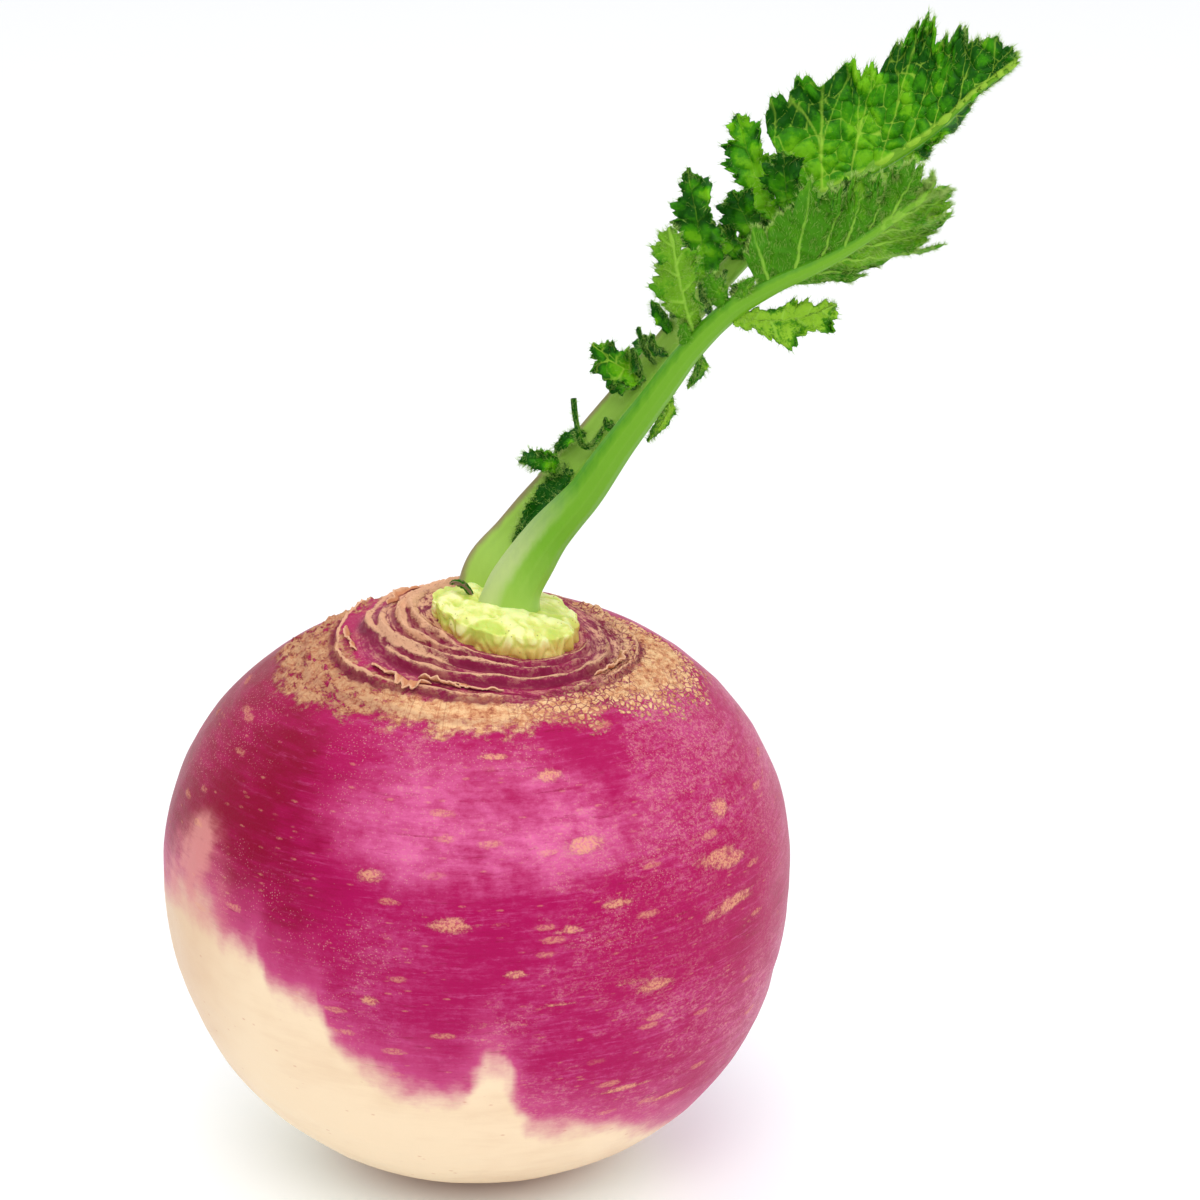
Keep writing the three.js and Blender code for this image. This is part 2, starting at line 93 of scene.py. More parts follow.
def linear(red, green, blue):
    """A colour from its screen values, 0 to 255, as the linear values that shaders take."""
    screen = np.array([red, green, blue]) / 255
    low = screen / 12.92
    high = ((screen + 0.055) / 1.055) ** 2.4
    return tuple(np.where(screen <= 0.04045, low, high))


# Number helpers


def mix(low, high, share):
    """Straight-line blend from low to high."""
    return low + (high - low) * share


def smooth(low, high, value):
    """0 below low, 1 above high, and an S-curve between."""
    share = np.clip((value - low) / (high - low), 0, 1)
    return share * share * (3 - 2 * share)


def hashed(lattice, seed):
    """A fixed random number from -1 to 1 for each whole-number place (last axis)."""
    keys = np.array([374761393, 668265263, 1442695041])[: lattice.shape[-1]]
    mixed = (lattice * keys).sum(-1) + seed * 974634777
    mixed = (mixed ^ (mixed >> 13)) * 1274126177 & 0xFFFFFFFF
    mixed = (mixed ^ (mixed >> 15)) * 2246822519 & 0xFFFFFFFF
    return ((mixed ^ (mixed >> 16)) & 0xFFFF) / 32767.5 - 1


def noise(points, seed):
    """Value noise from -1 to 1: random numbers on a unit lattice, blended smoothly."""
    base = np.floor(points).astype(np.int64)
    part = points - base
    part = part * part * (3 - 2 * part)
    axes = points.shape[-1]
    total = 0
    for corner in range(2**axes):
        step = np.array([(corner >> axis) & 1 for axis in range(axes)])
        weight = np.where(step, part, 1 - part).prod(-1)
        total = total + weight * hashed(base + step, seed)
    return total


def fractal(points, seed):
    """Value noise summed over three octaves, each twice as fine and half as strong."""
    return sum(noise(points * 2**octave, seed + octave) / 2**octave for octave in range(3))


def cells(points, seed):
    """Distances to the nearest and the second nearest of the points that are scattered
    one to each unit square (last axis holds two coordinates)."""
    base = np.floor(points).astype(np.int64)
    near = np.full(points.shape[:-1], 9.0)
    second = near.copy()
    for step in np.ndindex(3, 3):
        cell = base + np.array(step) - 1
        spot = np.stack([hashed(cell, seed), hashed(cell, seed + 7)], -1) * 0.42 + 0.5
        gap = np.linalg.norm(cell + spot - points, axis=-1)
        second = np.minimum(second, np.maximum(near, gap))
        near = np.minimum(near, gap)
    return near, second


def unit(vectors):
    """Vectors (last axis) scaled to length one."""
    return vectors / np.maximum(np.linalg.norm(vectors, axis=-1, keepdims=True), 1e-9)


def vector(*parts):
    """Points from coordinates, spread over one common grid."""
    return np.stack(np.broadcast_arrays(*parts), -1)


# Mesh helpers


def new_piece(name, points, faces, marks):
    """An object from points in millimetres and a list of face arrays, with a number for
    each point under each name in marks."""
    mesh = bpy.data.meshes.new(name)
    corners = np.concatenate([block.ravel() for block in faces])
    counts = np.concatenate([np.full(len(block), block.shape[1]) for block in faces])
    mesh.vertices.add(len(points))
    mesh.vertices.foreach_set("co", (points * MM).ravel())
    mesh.loops.add(len(corners))
    mesh.loops.foreach_set("vertex_index", corners.astype(np.int32))
    mesh.polygons.add(len(counts))
    mesh.polygons.foreach_set("loop_start", (np.cumsum(counts) - counts).astype(np.int32))
    mesh.polygons.foreach_set("use_smooth", np.ones(len(counts), bool))
    for mark, values in marks.items():
        layer = mesh.attributes.new(mark, "FLOAT", "POINT")
        layer.data.foreach_set("value", np.asarray(values, np.float32).ravel())
    mesh.update(calc_edges=True)
    mesh.validate()
    piece = bpy.data.objects.new(name, mesh)
    bpy.context.scene.collection.objects.link(piece)
    return piece


def ring_faces(rings, around):
    """Faces of a stack of closed rings of points, with a fan to a point at each end. The
    first point is the low end, the rings follow, and the last point is the high end."""
    ring = np.arange(rings - 1)[:, None] * around
    here = np.arange(around)[None, :]
    there = (here + 1) % around
    above = ring + around
    quads = np.stack([ring + here, ring + there, above + there, above + here], -1)
    here, there = here[0], there[0]
    low = np.stack([np.full(around, -1), there, here], -1)
    top = (rings - 1) * around
    high = np.stack([np.full(around, rings * around), top + here, top + there], -1)
    return [block + 1 for block in (quads.reshape(-1, 4), low, high)]


def facing(points):
    """The normals of a grid of points, where rows run forward and columns to the left."""
    return unit(np.cross(np.gradient(points, axis=0), np.gradient(points, axis=1)))


def sheet(points, half):
    """A closed sheet round a grid of middle points: each face stands half its thickness
    off along the grid's normal, the under one first, and a rim of quads joins them."""
    rows, columns = points.shape[:2]
    normal = facing(points)
    offset = normal * half[..., None]
    body = np.concatenate([(points - offset).reshape(-1, 3), (points + offset).reshape(-1, 3)])
    index = np.arange(rows * columns).reshape(rows, columns)
    one, two = index[:-1, :-1], index[:-1, 1:]
    three, four = index[1:, 1:], index[1:, :-1]
    under = np.stack([one, two, three, four], -1).reshape(-1, 4)
    upper = under[:, ::-1] + rows * columns
    rim = np.concatenate([index[0, :-1], index[:-1, -1], index[-1, :0:-1], index[:0:-1, 0]])
    after = np.roll(rim, -1)
    count = rows * columns
    edge = np.stack([rim, rim + count, after + count, after], -1)
    return body, [under, upper, edge], normal


def joined(parts):
    """One set of points, faces and marks from several."""
    points, faces, marks, start = [], [], {}, 0
    for body, blocks, values in parts:
        faces += [block + start for block in blocks]
        points.append(body)
        for mark, numbers in values.items():
            marks.setdefault(mark, []).append(np.ravel(numbers))
        start += len(body)
    marks = {mark: np.concatenate(rows) for mark, rows in marks.items()}
    return np.concatenate(points), faces, marks


# Shader helpers


class Wire:
    """A number that runs between shader nodes. Arithmetic on it adds Math nodes."""

    def __init__(self, finish, socket):
        self.finish = finish
        self.socket = socket

    def _math(self, operation, first, second=None):
        inputs = {0: first} if second is None else {0: first, 1: second}
        return self.finish.node("Math", {"operation": operation}, inputs)

    def __add__(self, other):
        return self._math("ADD", self, other)

    def __sub__(self, other):
        return self._math("SUBTRACT", self, other)

    def __rsub__(self, other):
        return self._math("SUBTRACT", other, self)

    def __mul__(self, other):
        return self._math("MULTIPLY", self, other)

    def __truediv__(self, other):
        return self._math("DIVIDE", self, other)

    def __pow__(self, other):
        return self._math("POWER", self, other)

    def least(self, other):
        return self._math("MINIMUM", self, other)

    def most(self, other):
        return self._math("MAXIMUM", self, other)

    def size(self):
        return self._math("ABSOLUTE", self)

    def root(self):
        return self._math("SQRT", self)

    def step(self, low, high, least=0.0, most=1.0):
        """An S-curve from least at low to most at high."""
        return self.finish.node(
            "MapRange",
            {"interpolation_type": "SMOOTHSTEP"},
            {"Value": self, "From Min": low, "From Max": high, "To Min": least, "To Max": most},
        )


class Finish:
    """A material in the making: one Principled shader and the nodes that feed it."""

    def __init__(self, name, **fixed):
        self.material = bpy.data.materials.new(name)
        self.material.use_nodes = True
        self.tree = self.material.node_tree
        self.shader = self.tree.nodes["Principled BSDF"]
        for socket, value in fixed.items():
            self.shader.inputs[socket.replace("_", " ")].default_value = value
        self.place = self.node("TexCoord", {}, {}, "Object")

    def node(self, kind, settings, inputs, output=0):
        """Add a node of a kind, set it up, feed its inputs and give the chosen output."""
        made = self.tree.nodes.new("ShaderNode" + kind)
        for key, value in settings.items():
            setattr(made, key, value)
        for key, value in inputs.items():
            if isinstance(value, Wire):
                self.tree.links.new(value.socket, made.inputs[key])
            else:
                made.inputs[key].default_value = value
        return Wire(self, made.outputs[output])

    def mm(self, x=1.0, y=1.0, z=1.0, shift=(0, 0, 0)):
        """Object coordinates in millimetres, stretched by a factor along each axis."""
        scale = (1000 * x, 1000 * y, 1000 * z)
        inputs = {"Vector": self.place, "Scale": scale, "Location": shift}
        return self.node("Mapping", {}, inputs)

    def noise(self, where, detail, rough=0.55):
        """Fractal noise from 0 to 1, with features about one unit across."""
        inputs = {"Vector": where, "Scale": 1.0, "Detail": detail, "Roughness": rough}
        return self.node("TexNoise", {}, inputs)

    def cells(self, where, feature="F1", output="Distance"):
        """Scattered cells: the distance to a cell's middle or edge, or its random colour."""
        inputs = {"Vector": where, "Scale": 1.0, "Randomness": 1.0}
        return self.node("TexVoronoi", {"feature": feature}, inputs, output)

    def mark(self, name):
        """A number kept on the mesh's points."""
        return self.node("Attribute", {"attribute_name": name}, {}, "Fac")

    def axis(self, where, name):
        """One coordinate of a vector."""
        return self.node("SeparateXYZ", {}, {0: where}, name)

    def blend(self, first, second, share):
        """A colour between two colours."""
        inputs = {0: share, 6: self._colour(first), 7: self._colour(second)}
        return self.node("Mix", {"data_type": "RGBA"}, inputs, 2)

    @staticmethod
    def _colour(value):
        return value if isinstance(value, Wire) else (*tuple(value)[:3], 1.0)

    def bump(self, height, distance, strength):
        """A normal from a height that stands for a distance in millimetres."""
        inputs = {"Height": height, "Distance": distance * MM, "Strength": strength}
        return self.node("Bump", {}, inputs)

    def feed(self, **sockets):
        """Link what varies to the shader's own sockets, and give the material."""
        for socket, wire in sockets.items():
            self.tree.links.new(wire.socket, self.shader.inputs[socket.replace("_", " ")])
        return self.material


# The root


def upper_height(distance):
    """Height of the plain globe above a distance from its axis: a squared circle."""
    share = np.clip(distance / GLOBE_RADIUS, 0, 1) ** UPPER_POWER
    return EQUATOR + (TOP - EQUATOR) * (1 - share) ** (1 / UPPER_POWER)


def lip_relief(angle, radius):
    """Sum of the raised lips. Each lip is a step on its outer side and falls slowly
    inwards, and its edge wanders with noise, as torn papery skin does. Gives the height,
    the closeness to a crest and the closeness to the groove outside a crest."""
    height, crest, groove = 0, 0, 0
    turn = vector(np.cos(angle), np.sin(angle))
    for number, (size, swing, toward, tall, high, least) in enumerate(LIPS):
        edge = size + swing * np.cos(angle - toward)
        edge = edge + 0.6 * noise(turn * 2.2, number) + 0.2 * noise(turn * 7, number + 20)
        edge = edge + 0.09 * noise(turn * 26, number + 40)
        beyond = radius - edge
        side = least + (1 - least) * smooth(0.0, 0.75, np.cos(angle - high))
        side = side * (1 + 0.4 * noise(turn * 5, number + 60))
        lip = np.where(beyond > 0, np.exp(-((beyond / LIP_STEP) ** 2)), np.exp(beyond / LIP_SLOPE))
        height = height + tall * lip * side
        plain = side * min(1, tall)
        wide = 0.3 + 0.5 * smooth(0.2, 0.95, np.cos(angle - 3.05)) * smooth(20, 15, size)
        crest = np.maximum(crest, np.exp(-(((beyond + 0.4 * wide) / wide) ** 2)) * plain)
        groove = np.maximum(groove, np.exp(-(((beyond - 0.6) / 0.55) ** 2)) * plain)
    inner = smooth(9, 12.5, radius)
    return height * inner, crest * inner, groove * inner


def cork_depth(x, y, angle, radius):
    """How far inside the corky ring a spot lies, in millimetres: the ring is wider at the
    sides than in front and narrow at the back, and starts further from the crown on the
    left."""
    turn = vector(np.cos(angle), np.sin(angle))
    outer = 30.4 + 3.4 * np.cos(angle) ** 2 + 1.6 * noise(turn * 3, 71) + 0.9 * noise(turn * 9, 72)
    outer = outer - 12 * smooth(0, 0.95, np.sin(angle))
    inner = 20.6 + 3.6 * np.cos(angle + 2.6) + 0.9 * noise(turn * 5, 73)
    return np.minimum(outer - np.hypot(x - 1.7, y + 1), radius - inner)


def shoulder(radius, angle):
    """The upper half of the globe. Small rings are centred on the crown and wide ones on
    the globe's axis; their height is the plain globe's, leaning at the neck, with the
    leaf scars, rough cork and shallow dents added."""
    shift = 1 - smooth(8, 47, radius)
    x = radius * np.cos(angle) + CROWN_X * shift
    y = radius * np.sin(angle) + CROWN_Y * shift
    z = upper_height(np.hypot(x, y))
    z = z + NECK_LEAN * (x - CROWN_X) * (1 - smooth(10, 27, radius))
    relief, crest, groove = lip_relief(angle, radius)
    cork = cork_depth(x, y, angle, radius)
    flat = vector(x, y)
    near, second = cells(flat * 0.75 + 0.3 * noise(flat * 0.8, 4)[..., None], 6)
    plates = smooth(0.0, 0.3, second - near) * 0.22
    rough = 0.2 * fractal(flat * 0.9, 31) + 0.12 * noise(flat * 2.6, 35) + plates
    fibre = 0.12 * noise(vector(np.cos(angle) * 46, np.sin(angle) * 46, radius * 0.3), 37)
    left = smooth(0, -0.6, np.cos(angle))
    z = z + relief + (rough * (1 + 0.7 * left) + fibre * left) * smooth(-1, 2, cork)
    return vector(x, y, z), crest, groove, cork


def belly(slope, angle):
    """The lower half: a squared circle from the equator down to the resting spot, which
    bulges a little to the right half way down."""
    radius = GLOBE_RADIUS * np.sin(slope) ** (2 / LOWER_POWER)
    share = (REST_RADIUS / GLOBE_RADIUS) ** LOWER_POWER
    depth = EQUATOR / (1 - share) ** (1 / LOWER_POWER)
    z = EQUATOR - depth * np.cos(slope) ** (2 / LOWER_POWER)
    x = radius * np.cos(angle) + BULGE * np.maximum(0, np.sin(2 * slope) - np.sin(2 * FLAT_SLOPE))
    return vector(x, radius * np.sin(angle), np.maximum(0, z))


def globe_mesh():
    """Rings from the resting spot up the belly, over the equator and across the scars to
    the middle of the crown, with dents of about a tenth of a millimetre all over."""
    around, belly_rings, wide_rings, close_rings = 336, 104, 38, 124
    close_radius, least_radius = 34, 9
    angle = np.arange(around)[None, :] * TAU / around
    low = belly(np.linspace(FLAT_SLOPE, np.pi / 2, belly_rings)[:, None], angle)
    slopes = np.linspace(np.pi / 2, np.arcsin(close_radius / GLOBE_RADIUS), wide_rings)
    wide = GLOBE_RADIUS * np.sin(slopes[1:-1])
    close = np.linspace(close_radius, least_radius, close_rings)
    high, crest, groove, cork = shoulder(np.concatenate([wide, close])[:, None], angle)
    rings = np.concatenate([low, high])
    middle = (rings - np.array([0, 0, EQUATOR])) / GLOBE_RADIUS
    dents = 0.22 * fractal(middle * np.array([3.2, 3.2, 6]), 3) * smooth(0, 6, rings[..., 2])
    rings = rings - unit(middle) * np.abs(dents)[..., None]
    rings[..., 2] = np.maximum(rings[..., 2], 0)
    cap = shoulder(np.array([[0.0]]), np.array([[0.0]]))[0].reshape(1, 3)
    points = np.concatenate([np.zeros((1, 3)), rings.reshape(-1, 3), cap])
    lower = low.shape[:2]
    marks = {
        "crest": padded(crest, lower, 0),
        "groove": padded(groove, lower, 0),
        "cork": padded(cork, lower, -20),
        "edge": purple_edge(points),
        "faded": faded_share(points),
        "spot": pale_spots(points),
    }
    return new_piece("turnip_globe", points, ring_faces(len(rings), around), marks)


def padded(numbers, lower, plain):
    """Numbers of the upper rings with a plain value for the lower rings and both poles."""
    rings = np.concatenate([np.full(lower, plain, float), numbers])
    return np.concatenate([[plain], rings.ravel(), [plain]])


# The purple's lower edge: degrees round the globe, and height in millimetres.
EDGE = (
    (-166, 48.5), (-146, 53), (-135, 50), (-129, 49), (-127, 45), (-116, 45.5), (-112.5, 37.5),
    (-109, 33.5), (-94, 30), (-90.5, 31.5), (-87.5, 36.5), (-84, 36.5), (-81, 29.5), (-78.5, 25),
    (-73, 22.5), (-61, 20.5), (-40, 14), (0, 6), (90, 6), (135, 22), (170, 44),
)


def purple_edge(points):
    """Height in millimetres above the ragged lower edge of the purple."""
    degrees, heights = zip(*EDGE)
    around = np.degrees(np.arctan2(points[:, 1], points[:, 0]))
    around = around + 1.6 * noise(points * 0.2, 5) + noise(points * 0.6, 6)
    edge = np.interp(around, degrees, heights, period=360)
    return points[:, 2] - edge + 1.5 * fractal(points * 0.12, 8)


def faded_share(points):
    """How far the purple has faded in a patch on the left, which widens downwards."""
    around = np.degrees(np.arctan2(points[:, 1], points[:, 0]))
    below = np.clip(69 - points[:, 2], 0, 20)
    gap = (around + 147 + 0.35 * below) / (3 + 0.7 * below)
    return np.exp(-gap * gap) * smooth(0, 6, below)


# Pale marks on the skin: place in millimetres, half width and half height.
SPOTS = (
    ((-2.2, -48.4, 58.6), 3.6, 1.1),
    ((39.7, -29.0, 54.3), 5.2, 0.9),
    ((36.6, -33.0, 53.4), 3.4, 0.6),
    ((27.6, -40.9, 45.7), 3.2, 0.9),
    ((-13.9, -44.3, 64.7), 2.4, 1.0),
    ((12.1, -36.0, 77.0), 2.0, 0.9),
    ((17.2, -41.4, 68.2), 3.4, 1.2),
    ((7.1, -49.0, 51.0), 2.2, 0.8),
    ((-14.1, -47.3, 46.2), 1.5, 0.8),
    ((38.9, -28.0, 60.3), 4.4, 0.9),
    ((15.0, -46.0, 57.0), 2.6, 0.7),
    ((2.0, -47.6, 43.0), 1.6, 1.1),
    ((37.4, -25.1, 67.6), 2.0, 1.5),
    ((-27.0, -28.0, 78.6), 1.6, 0.9),
    ((42.8, -25.0, 49.4), 5.4, 0.4),
    ((25.0, -42.8, 47.5), 6.0, 0.4),
    ((28.0, -40.6, 44.4), 5.6, 0.35),
    ((23.0, -39.9, 28.5), 5.0, 0.5),
    ((29.8, -32.3, 23.6), 3.8, 0.5),
    ((13.6, -47.5, 45.8), 3.6, 0.4),
    ((36.6, -30.4, 61.8), 5.0, 1.0),
    ((22.0, -42.8, 59.7), 2.6, 0.7),
    ((4.0, -35.0, 79.5), 2.2, 0.4),
    ((-24.5, -42.5, 56.1), 4.5, 0.3),
)


def pale_spots(points):
    """Closeness to the nearest pale mark: 1 at its middle, 0 at its rim."""
    closest = np.full(len(points), -3.0)
    for place, wide, tall in SPOTS:
        gap = points - np.array(place)
        around = np.hypot(gap[:, 0], gap[:, 1]) / wide
        closest = np.maximum(closest, 1 - np.hypot(around, gap[:, 2] / tall))
    return closest


# Loose flakes of dry skin: middle angle, half span, radius, width and rise.
FLAKES = (
    (-2.25, 0.26, 22.6, 3.2, 1.1),
    (-1.96, 0.16, 21.2, 2.6, 1.2),
    (-1.70, 0.20, 20.4, 2.2, 0.5),
    (-0.48, 0.20, 19.0, 2.2, 0.8),
    (-0.24, 0.14, 18.8, 2.8, 1.5),
    (-2.95, 0.20, 22.8, 1.8, 0.9),
    (2.70, 0.26, 17.4, 1.8, 1.0),
)


def flake_part(number, middle, span, radius, width, rise):
    """A dry flake: a sheet along an arc round the crown. It leaves the skin at its inner
    edge and lifts towards its free outer edge, which is torn and ripples."""
    along = np.linspace(-1, 1, 44)[:, None]
    out = np.linspace(0, 1, 12)[None, :]
    angle = middle + span * along
    torn = 0.65 + 0.25 * noise(vector(along * 4, number), number)
    torn = torn + 0.2 * noise(vector(along * 15, 1), number)
    taper = (1 - np.abs(along) ** 2.4) ** 0.6
    reach = 0.72 * width * torn * taper * out
    ripple = 0.25 * np.sin(along * 9 + number) * out
    away = radius + 0.5 * noise(vector(along * 2, 5), number) + reach
    ground = shoulder(np.maximum(away, 10) + 0 * angle, angle + 0 * out)[0]
    lift = np.array([0, 0, 1]) * (0.1 + (rise * out**1.3 + ripple) * taper)[..., None]
    body, faces, _ = sheet(ground + lift, np.full(reach.shape, 0.11))
    return body, faces, {"rim": np.tile((out + 0 * along).ravel(), 2)}


def flake_finish(look):
    """Dry brown paper, paler at its torn edge."""
    paper = Finish("turnip_flakes", Specular_IOR_Level=0.2)
    rim = paper.mark("rim")
    grain = paper.noise(paper.mm(1.3, 1.3, 1.3), 4, 0.7)
    colour = paper.blend(look.cork_dark, look.cork, (rim + (grain - 0.5) * 0.9).step(-0.1, 0.35))
    colour = paper.blend(colour, look.lip, (rim + (grain - 0.5) * 0.8).step(0.55, 0.95))
    normal = paper.bump(grain, 0.2, 0.6)
    return paper.feed(Base_Color=colour, Roughness=grain * 0.3 + 0.5, Normal=normal)


def skin_patterns(skin):
    """What the skin's colours are made of: places in millimetres, the numbers kept on the
    mesh, noise from broad clouds to fine grain, rays from the globe's axis, lines round the
    crown, and cracks."""
    plain = skin.mm()
    x, y, z = (skin.axis(plain, name) for name in "XYZ")
    from_crown = ((x - CROWN_X) ** 2 + (y - CROWN_Y) ** 2).root()
    round_crown = ((x - CROWN_X) / from_crown * 5, (y - CROWN_Y) / from_crown * 5, from_crown * 1.5)
    turn = skin.node("VectorMath", {"operation": "MULTIPLY"}, {0: plain, 1: (1, 1, 0)}, "Vector")
    turn = skin.node("VectorMath", {"operation": "NORMALIZE"}, {0: turn}, "Vector")
    turn = skin.node("VectorMath", {"operation": "SCALE"}, {0: turn, "Scale": 52}, "Vector")
    return SimpleNamespace(
        x=x,
        y=y,
        z=z,
        from_crown=from_crown,
        right=(x / 40).step(-0.1, 0.6),
        edge=skin.mark("edge"),
        faded=skin.mark("faded"),
        spot=skin.mark("spot"),
        crest=skin.mark("crest"),
        groove=skin.mark("groove"),
        depth=skin.mark("cork"),
        clouds=skin.noise(skin.mm(0.05, 0.05, 0.07, (3, 5, 1)), 3),
        ragged=skin.noise(skin.mm(0.15, 0.15, 0.13), 4, 0.55),
        streaks=skin.noise(skin.mm(0.13, 0.13, 0.85, (9, 0, 0)), 6, 0.68),
        flakes=skin.noise(skin.mm(0.35, 0.35, 0.5), 5, 0.7),
        patch=skin.noise(skin.mm(0.5, 0.5, 0.9, (8, 3, 5)), 5, 0.72),
        fine=skin.noise(skin.mm(0.55, 0.55, 1.9), 5, 0.7),
        mottle=skin.noise(skin.mm(0.9, 0.9, 1.3), 5, 0.75),
        grain=skin.noise(skin.mm(1.3, 1.3, 3), 4, 0.7),
        rays=skin.noise(turn, 4, 0.7),
        lines=skin.noise(skin.node("CombineXYZ", {}, dict(enumerate(round_crown))), 5, 0.7),
        crackle=skin.cells(skin.mm(0.95, 0.95, 0.95), "DISTANCE_TO_EDGE"),
    )


def cream_skin(skin, at, look):
    """Cream skin with darker clouds, painted shade on its left side and a few tan dots."""
    clouded = (at.clouds * 0.8 + at.streaks * 0.3).step(0.5, 0.8) * 0.5
    cream = skin.blend(look.cream, look.cream_shade, clouded)
    # Painted shade: the cream darkens towards the left side, where less light falls.
    painted_left_shade = (at.x * -1 - 30 + (at.clouds - 0.5) * 14).step(0, 16)
    cream = skin.blend(cream, look.cream_shade, painted_left_shade * 0.8)
    tan_dots = skin.cells(skin.mm(0.24, 0.24, 0.5, (3, 1, 2))).step(0.12, 0.03)
    return skin.blend(cream, look.cork, tan_dots * 0.5)


def purple_skin(skin, at, look, above):
    """Purple skin: crimson on the left, partly the skin's own colour and partly painted shade, and
    magenta with a rose haze to the right, where a dark belt runs; a painted mauve highlight on
    the upper front; thin streaks along the girth; specks; and a faded pink patch on the left.
    It turns to blush near its lower edge."""
    belt = ((at.z - 54) / 13).size().step(1.1, 0.5) * ((at.x - 12) / 14).step(0, 1)
    # Crimson where the tone is low, on the upper left: partly the skin's own colour and partly painted shade
    # on the side that gets less light.
    tone = ((at.x + 33) / 24).most((at.z * -1 + 60) / 14).step(0, 1) * 0.5
    tone = tone + ((at.x - 5) / 45).step(0, 1) * 0.08 - belt * 0.22
    tone = tone + (at.clouds - 0.5) * 0.8 + (at.streaks - 0.5) * 0.8
    colour = skin.blend(look.crimson, look.magenta, tone.step(-0.15, 0.35))
    hazy = tone + (at.mottle - 0.5) * 0.7 + (at.fine - 0.5) * 0.5 + (at.flakes - 0.5) * 0.5
    colour = skin.blend(colour, look.rose, hazy.step(0.32, 0.95) * 0.85)
    # Painted highlight: a broken mauve patch on the upper front, where the light's sheen falls on the skin.
    painted_highlight = (((at.x - 3) / 24) ** 2 + ((at.z - 70.5) / 8.5) ** 2).step(1.5, 0.1)
    clotted = (at.streaks * 0.6 + at.clouds * 1.2 + (at.flakes - 0.5) * 0.8).step(0.55, 1.25)
    colour = skin.blend(colour, look.painted_highlight, painted_highlight * at.y.step(10, -20) * clotted * 0.95)
    colour = skin.blend(look.blush, colour, above.step(-1, 12) * 0.75 + 0.25)
    thin = skin.noise(skin.mm(0.09, 0.09, 1.5, (2, 7, 3)), 6, 0.8)
    # Pale streaks, fewer on the left as part of that side's painted shade.
    light = (thin + (at.mottle - 0.5) * 0.3).step(0.53, 0.7) * at.x.step(-40, 0, 0.15, 0.8)
    colour = skin.blend(colour, look.rose, light)
    dark = (thin - (at.mottle - 0.5) * 0.3).step(0.43, 0.3)
    colour = skin.blend(colour, look.crimson, dark * 0.6)
    haze = (at.x / 60 + (at.flakes - 0.5) * 3 + (at.clouds - 0.5) * 3).step(0.05, 0.9)
    specks = skin.noise(skin.mm(1.9, 1.9, 2.8, (1, 9, 4)), 3, 0.7)
    specks = (specks + (at.fine - 0.5) * 0.6).step(0.46, 0.64)
    colour = skin.blend(colour, look.frost, specks * haze * (0.44 - belt * 0.26))
    pink = (at.faded * ((at.ragged - 0.5) * 2.4 + (at.streaks - 0.5) * 1.4 + 0.9)).step(0.05, 0.95)
    return skin.blend(colour, look.faded, pink * 0.8)


def scattered_marks(skin, place, torn, rim, middle, seldom, often):
    """Closeness to marks that lie in some of the cells scattered over a place."""
    seed = skin.axis(skin.cells(place, "F1", "Color"), "X")
    return (skin.cells(place) + torn).step(rim, middle) * seed.step(seldom, often)


def pale_marks(skin, at):
    """Pale lens marks with torn rims: the listed ones, and large and small ones between."""
    torn = (at.mottle - 0.5) * 2.2 + (at.flakes - 0.5) * 1.6
    listed = (at.spot + torn * 0.7).step(-0.15, 0.4)
    place = skin.mm(0.13, 0.13, 0.45, (0.3, 0.7, 0.2))
    large = scattered_marks(skin, place, torn * 0.16, 0.3, 0.16, 0.68, 0.72)
    place = skin.mm(0.36, 0.36, 1.3, (5, 2, 8))
    small = scattered_marks(skin, place, torn * 0.14, 0.28, 0.1, 0.72, 0.8)
    return listed.most(large * 0.6).most(small * 0.42)


def cork_skin(skin, at, look):
    """The corky shoulder: how much of it covers the skin, and its colour. The skin shows
    through a net of cracks on the right and between torn patches on the left."""
    cork = (at.depth + (at.flakes - 0.5) * 9 + (at.mottle - 0.5) * 4).step(-0.8, 1.4)
    net = at.crackle + at.depth * 0.035 - at.right * 0.12 + (at.flakes - 0.5) * 0.35
    cork = cork * (net.step(0.0, 0.12) * at.right + (1 - at.right))
    cork = cork * (at.mottle + at.depth * 0.08).step(0.28, 0.45)
    left = (at.x * -1 - 6).step(0, 12)
    cork = cork * ((at.patch + (at.lines - 0.5) * 0.6).step(0.36, 0.47) * left + (1 - left))
    tan = skin.blend(look.cork, look.cork_pale, (at.grain * 0.5 + at.patch * 0.8).step(0.55, 0.76))
    tan = skin.blend(tan, look.cork_dark, (at.patch * 0.8 + at.grain * 0.5).step(0.6, 0.44) * 0.85)
    tan = skin.blend(tan, look.cork_dark, at.rays.step(0.52, 0.66) * (1 - at.right) * 0.4)
    return cork, skin.blend(tan, look.cork_dark, left * 0.42)


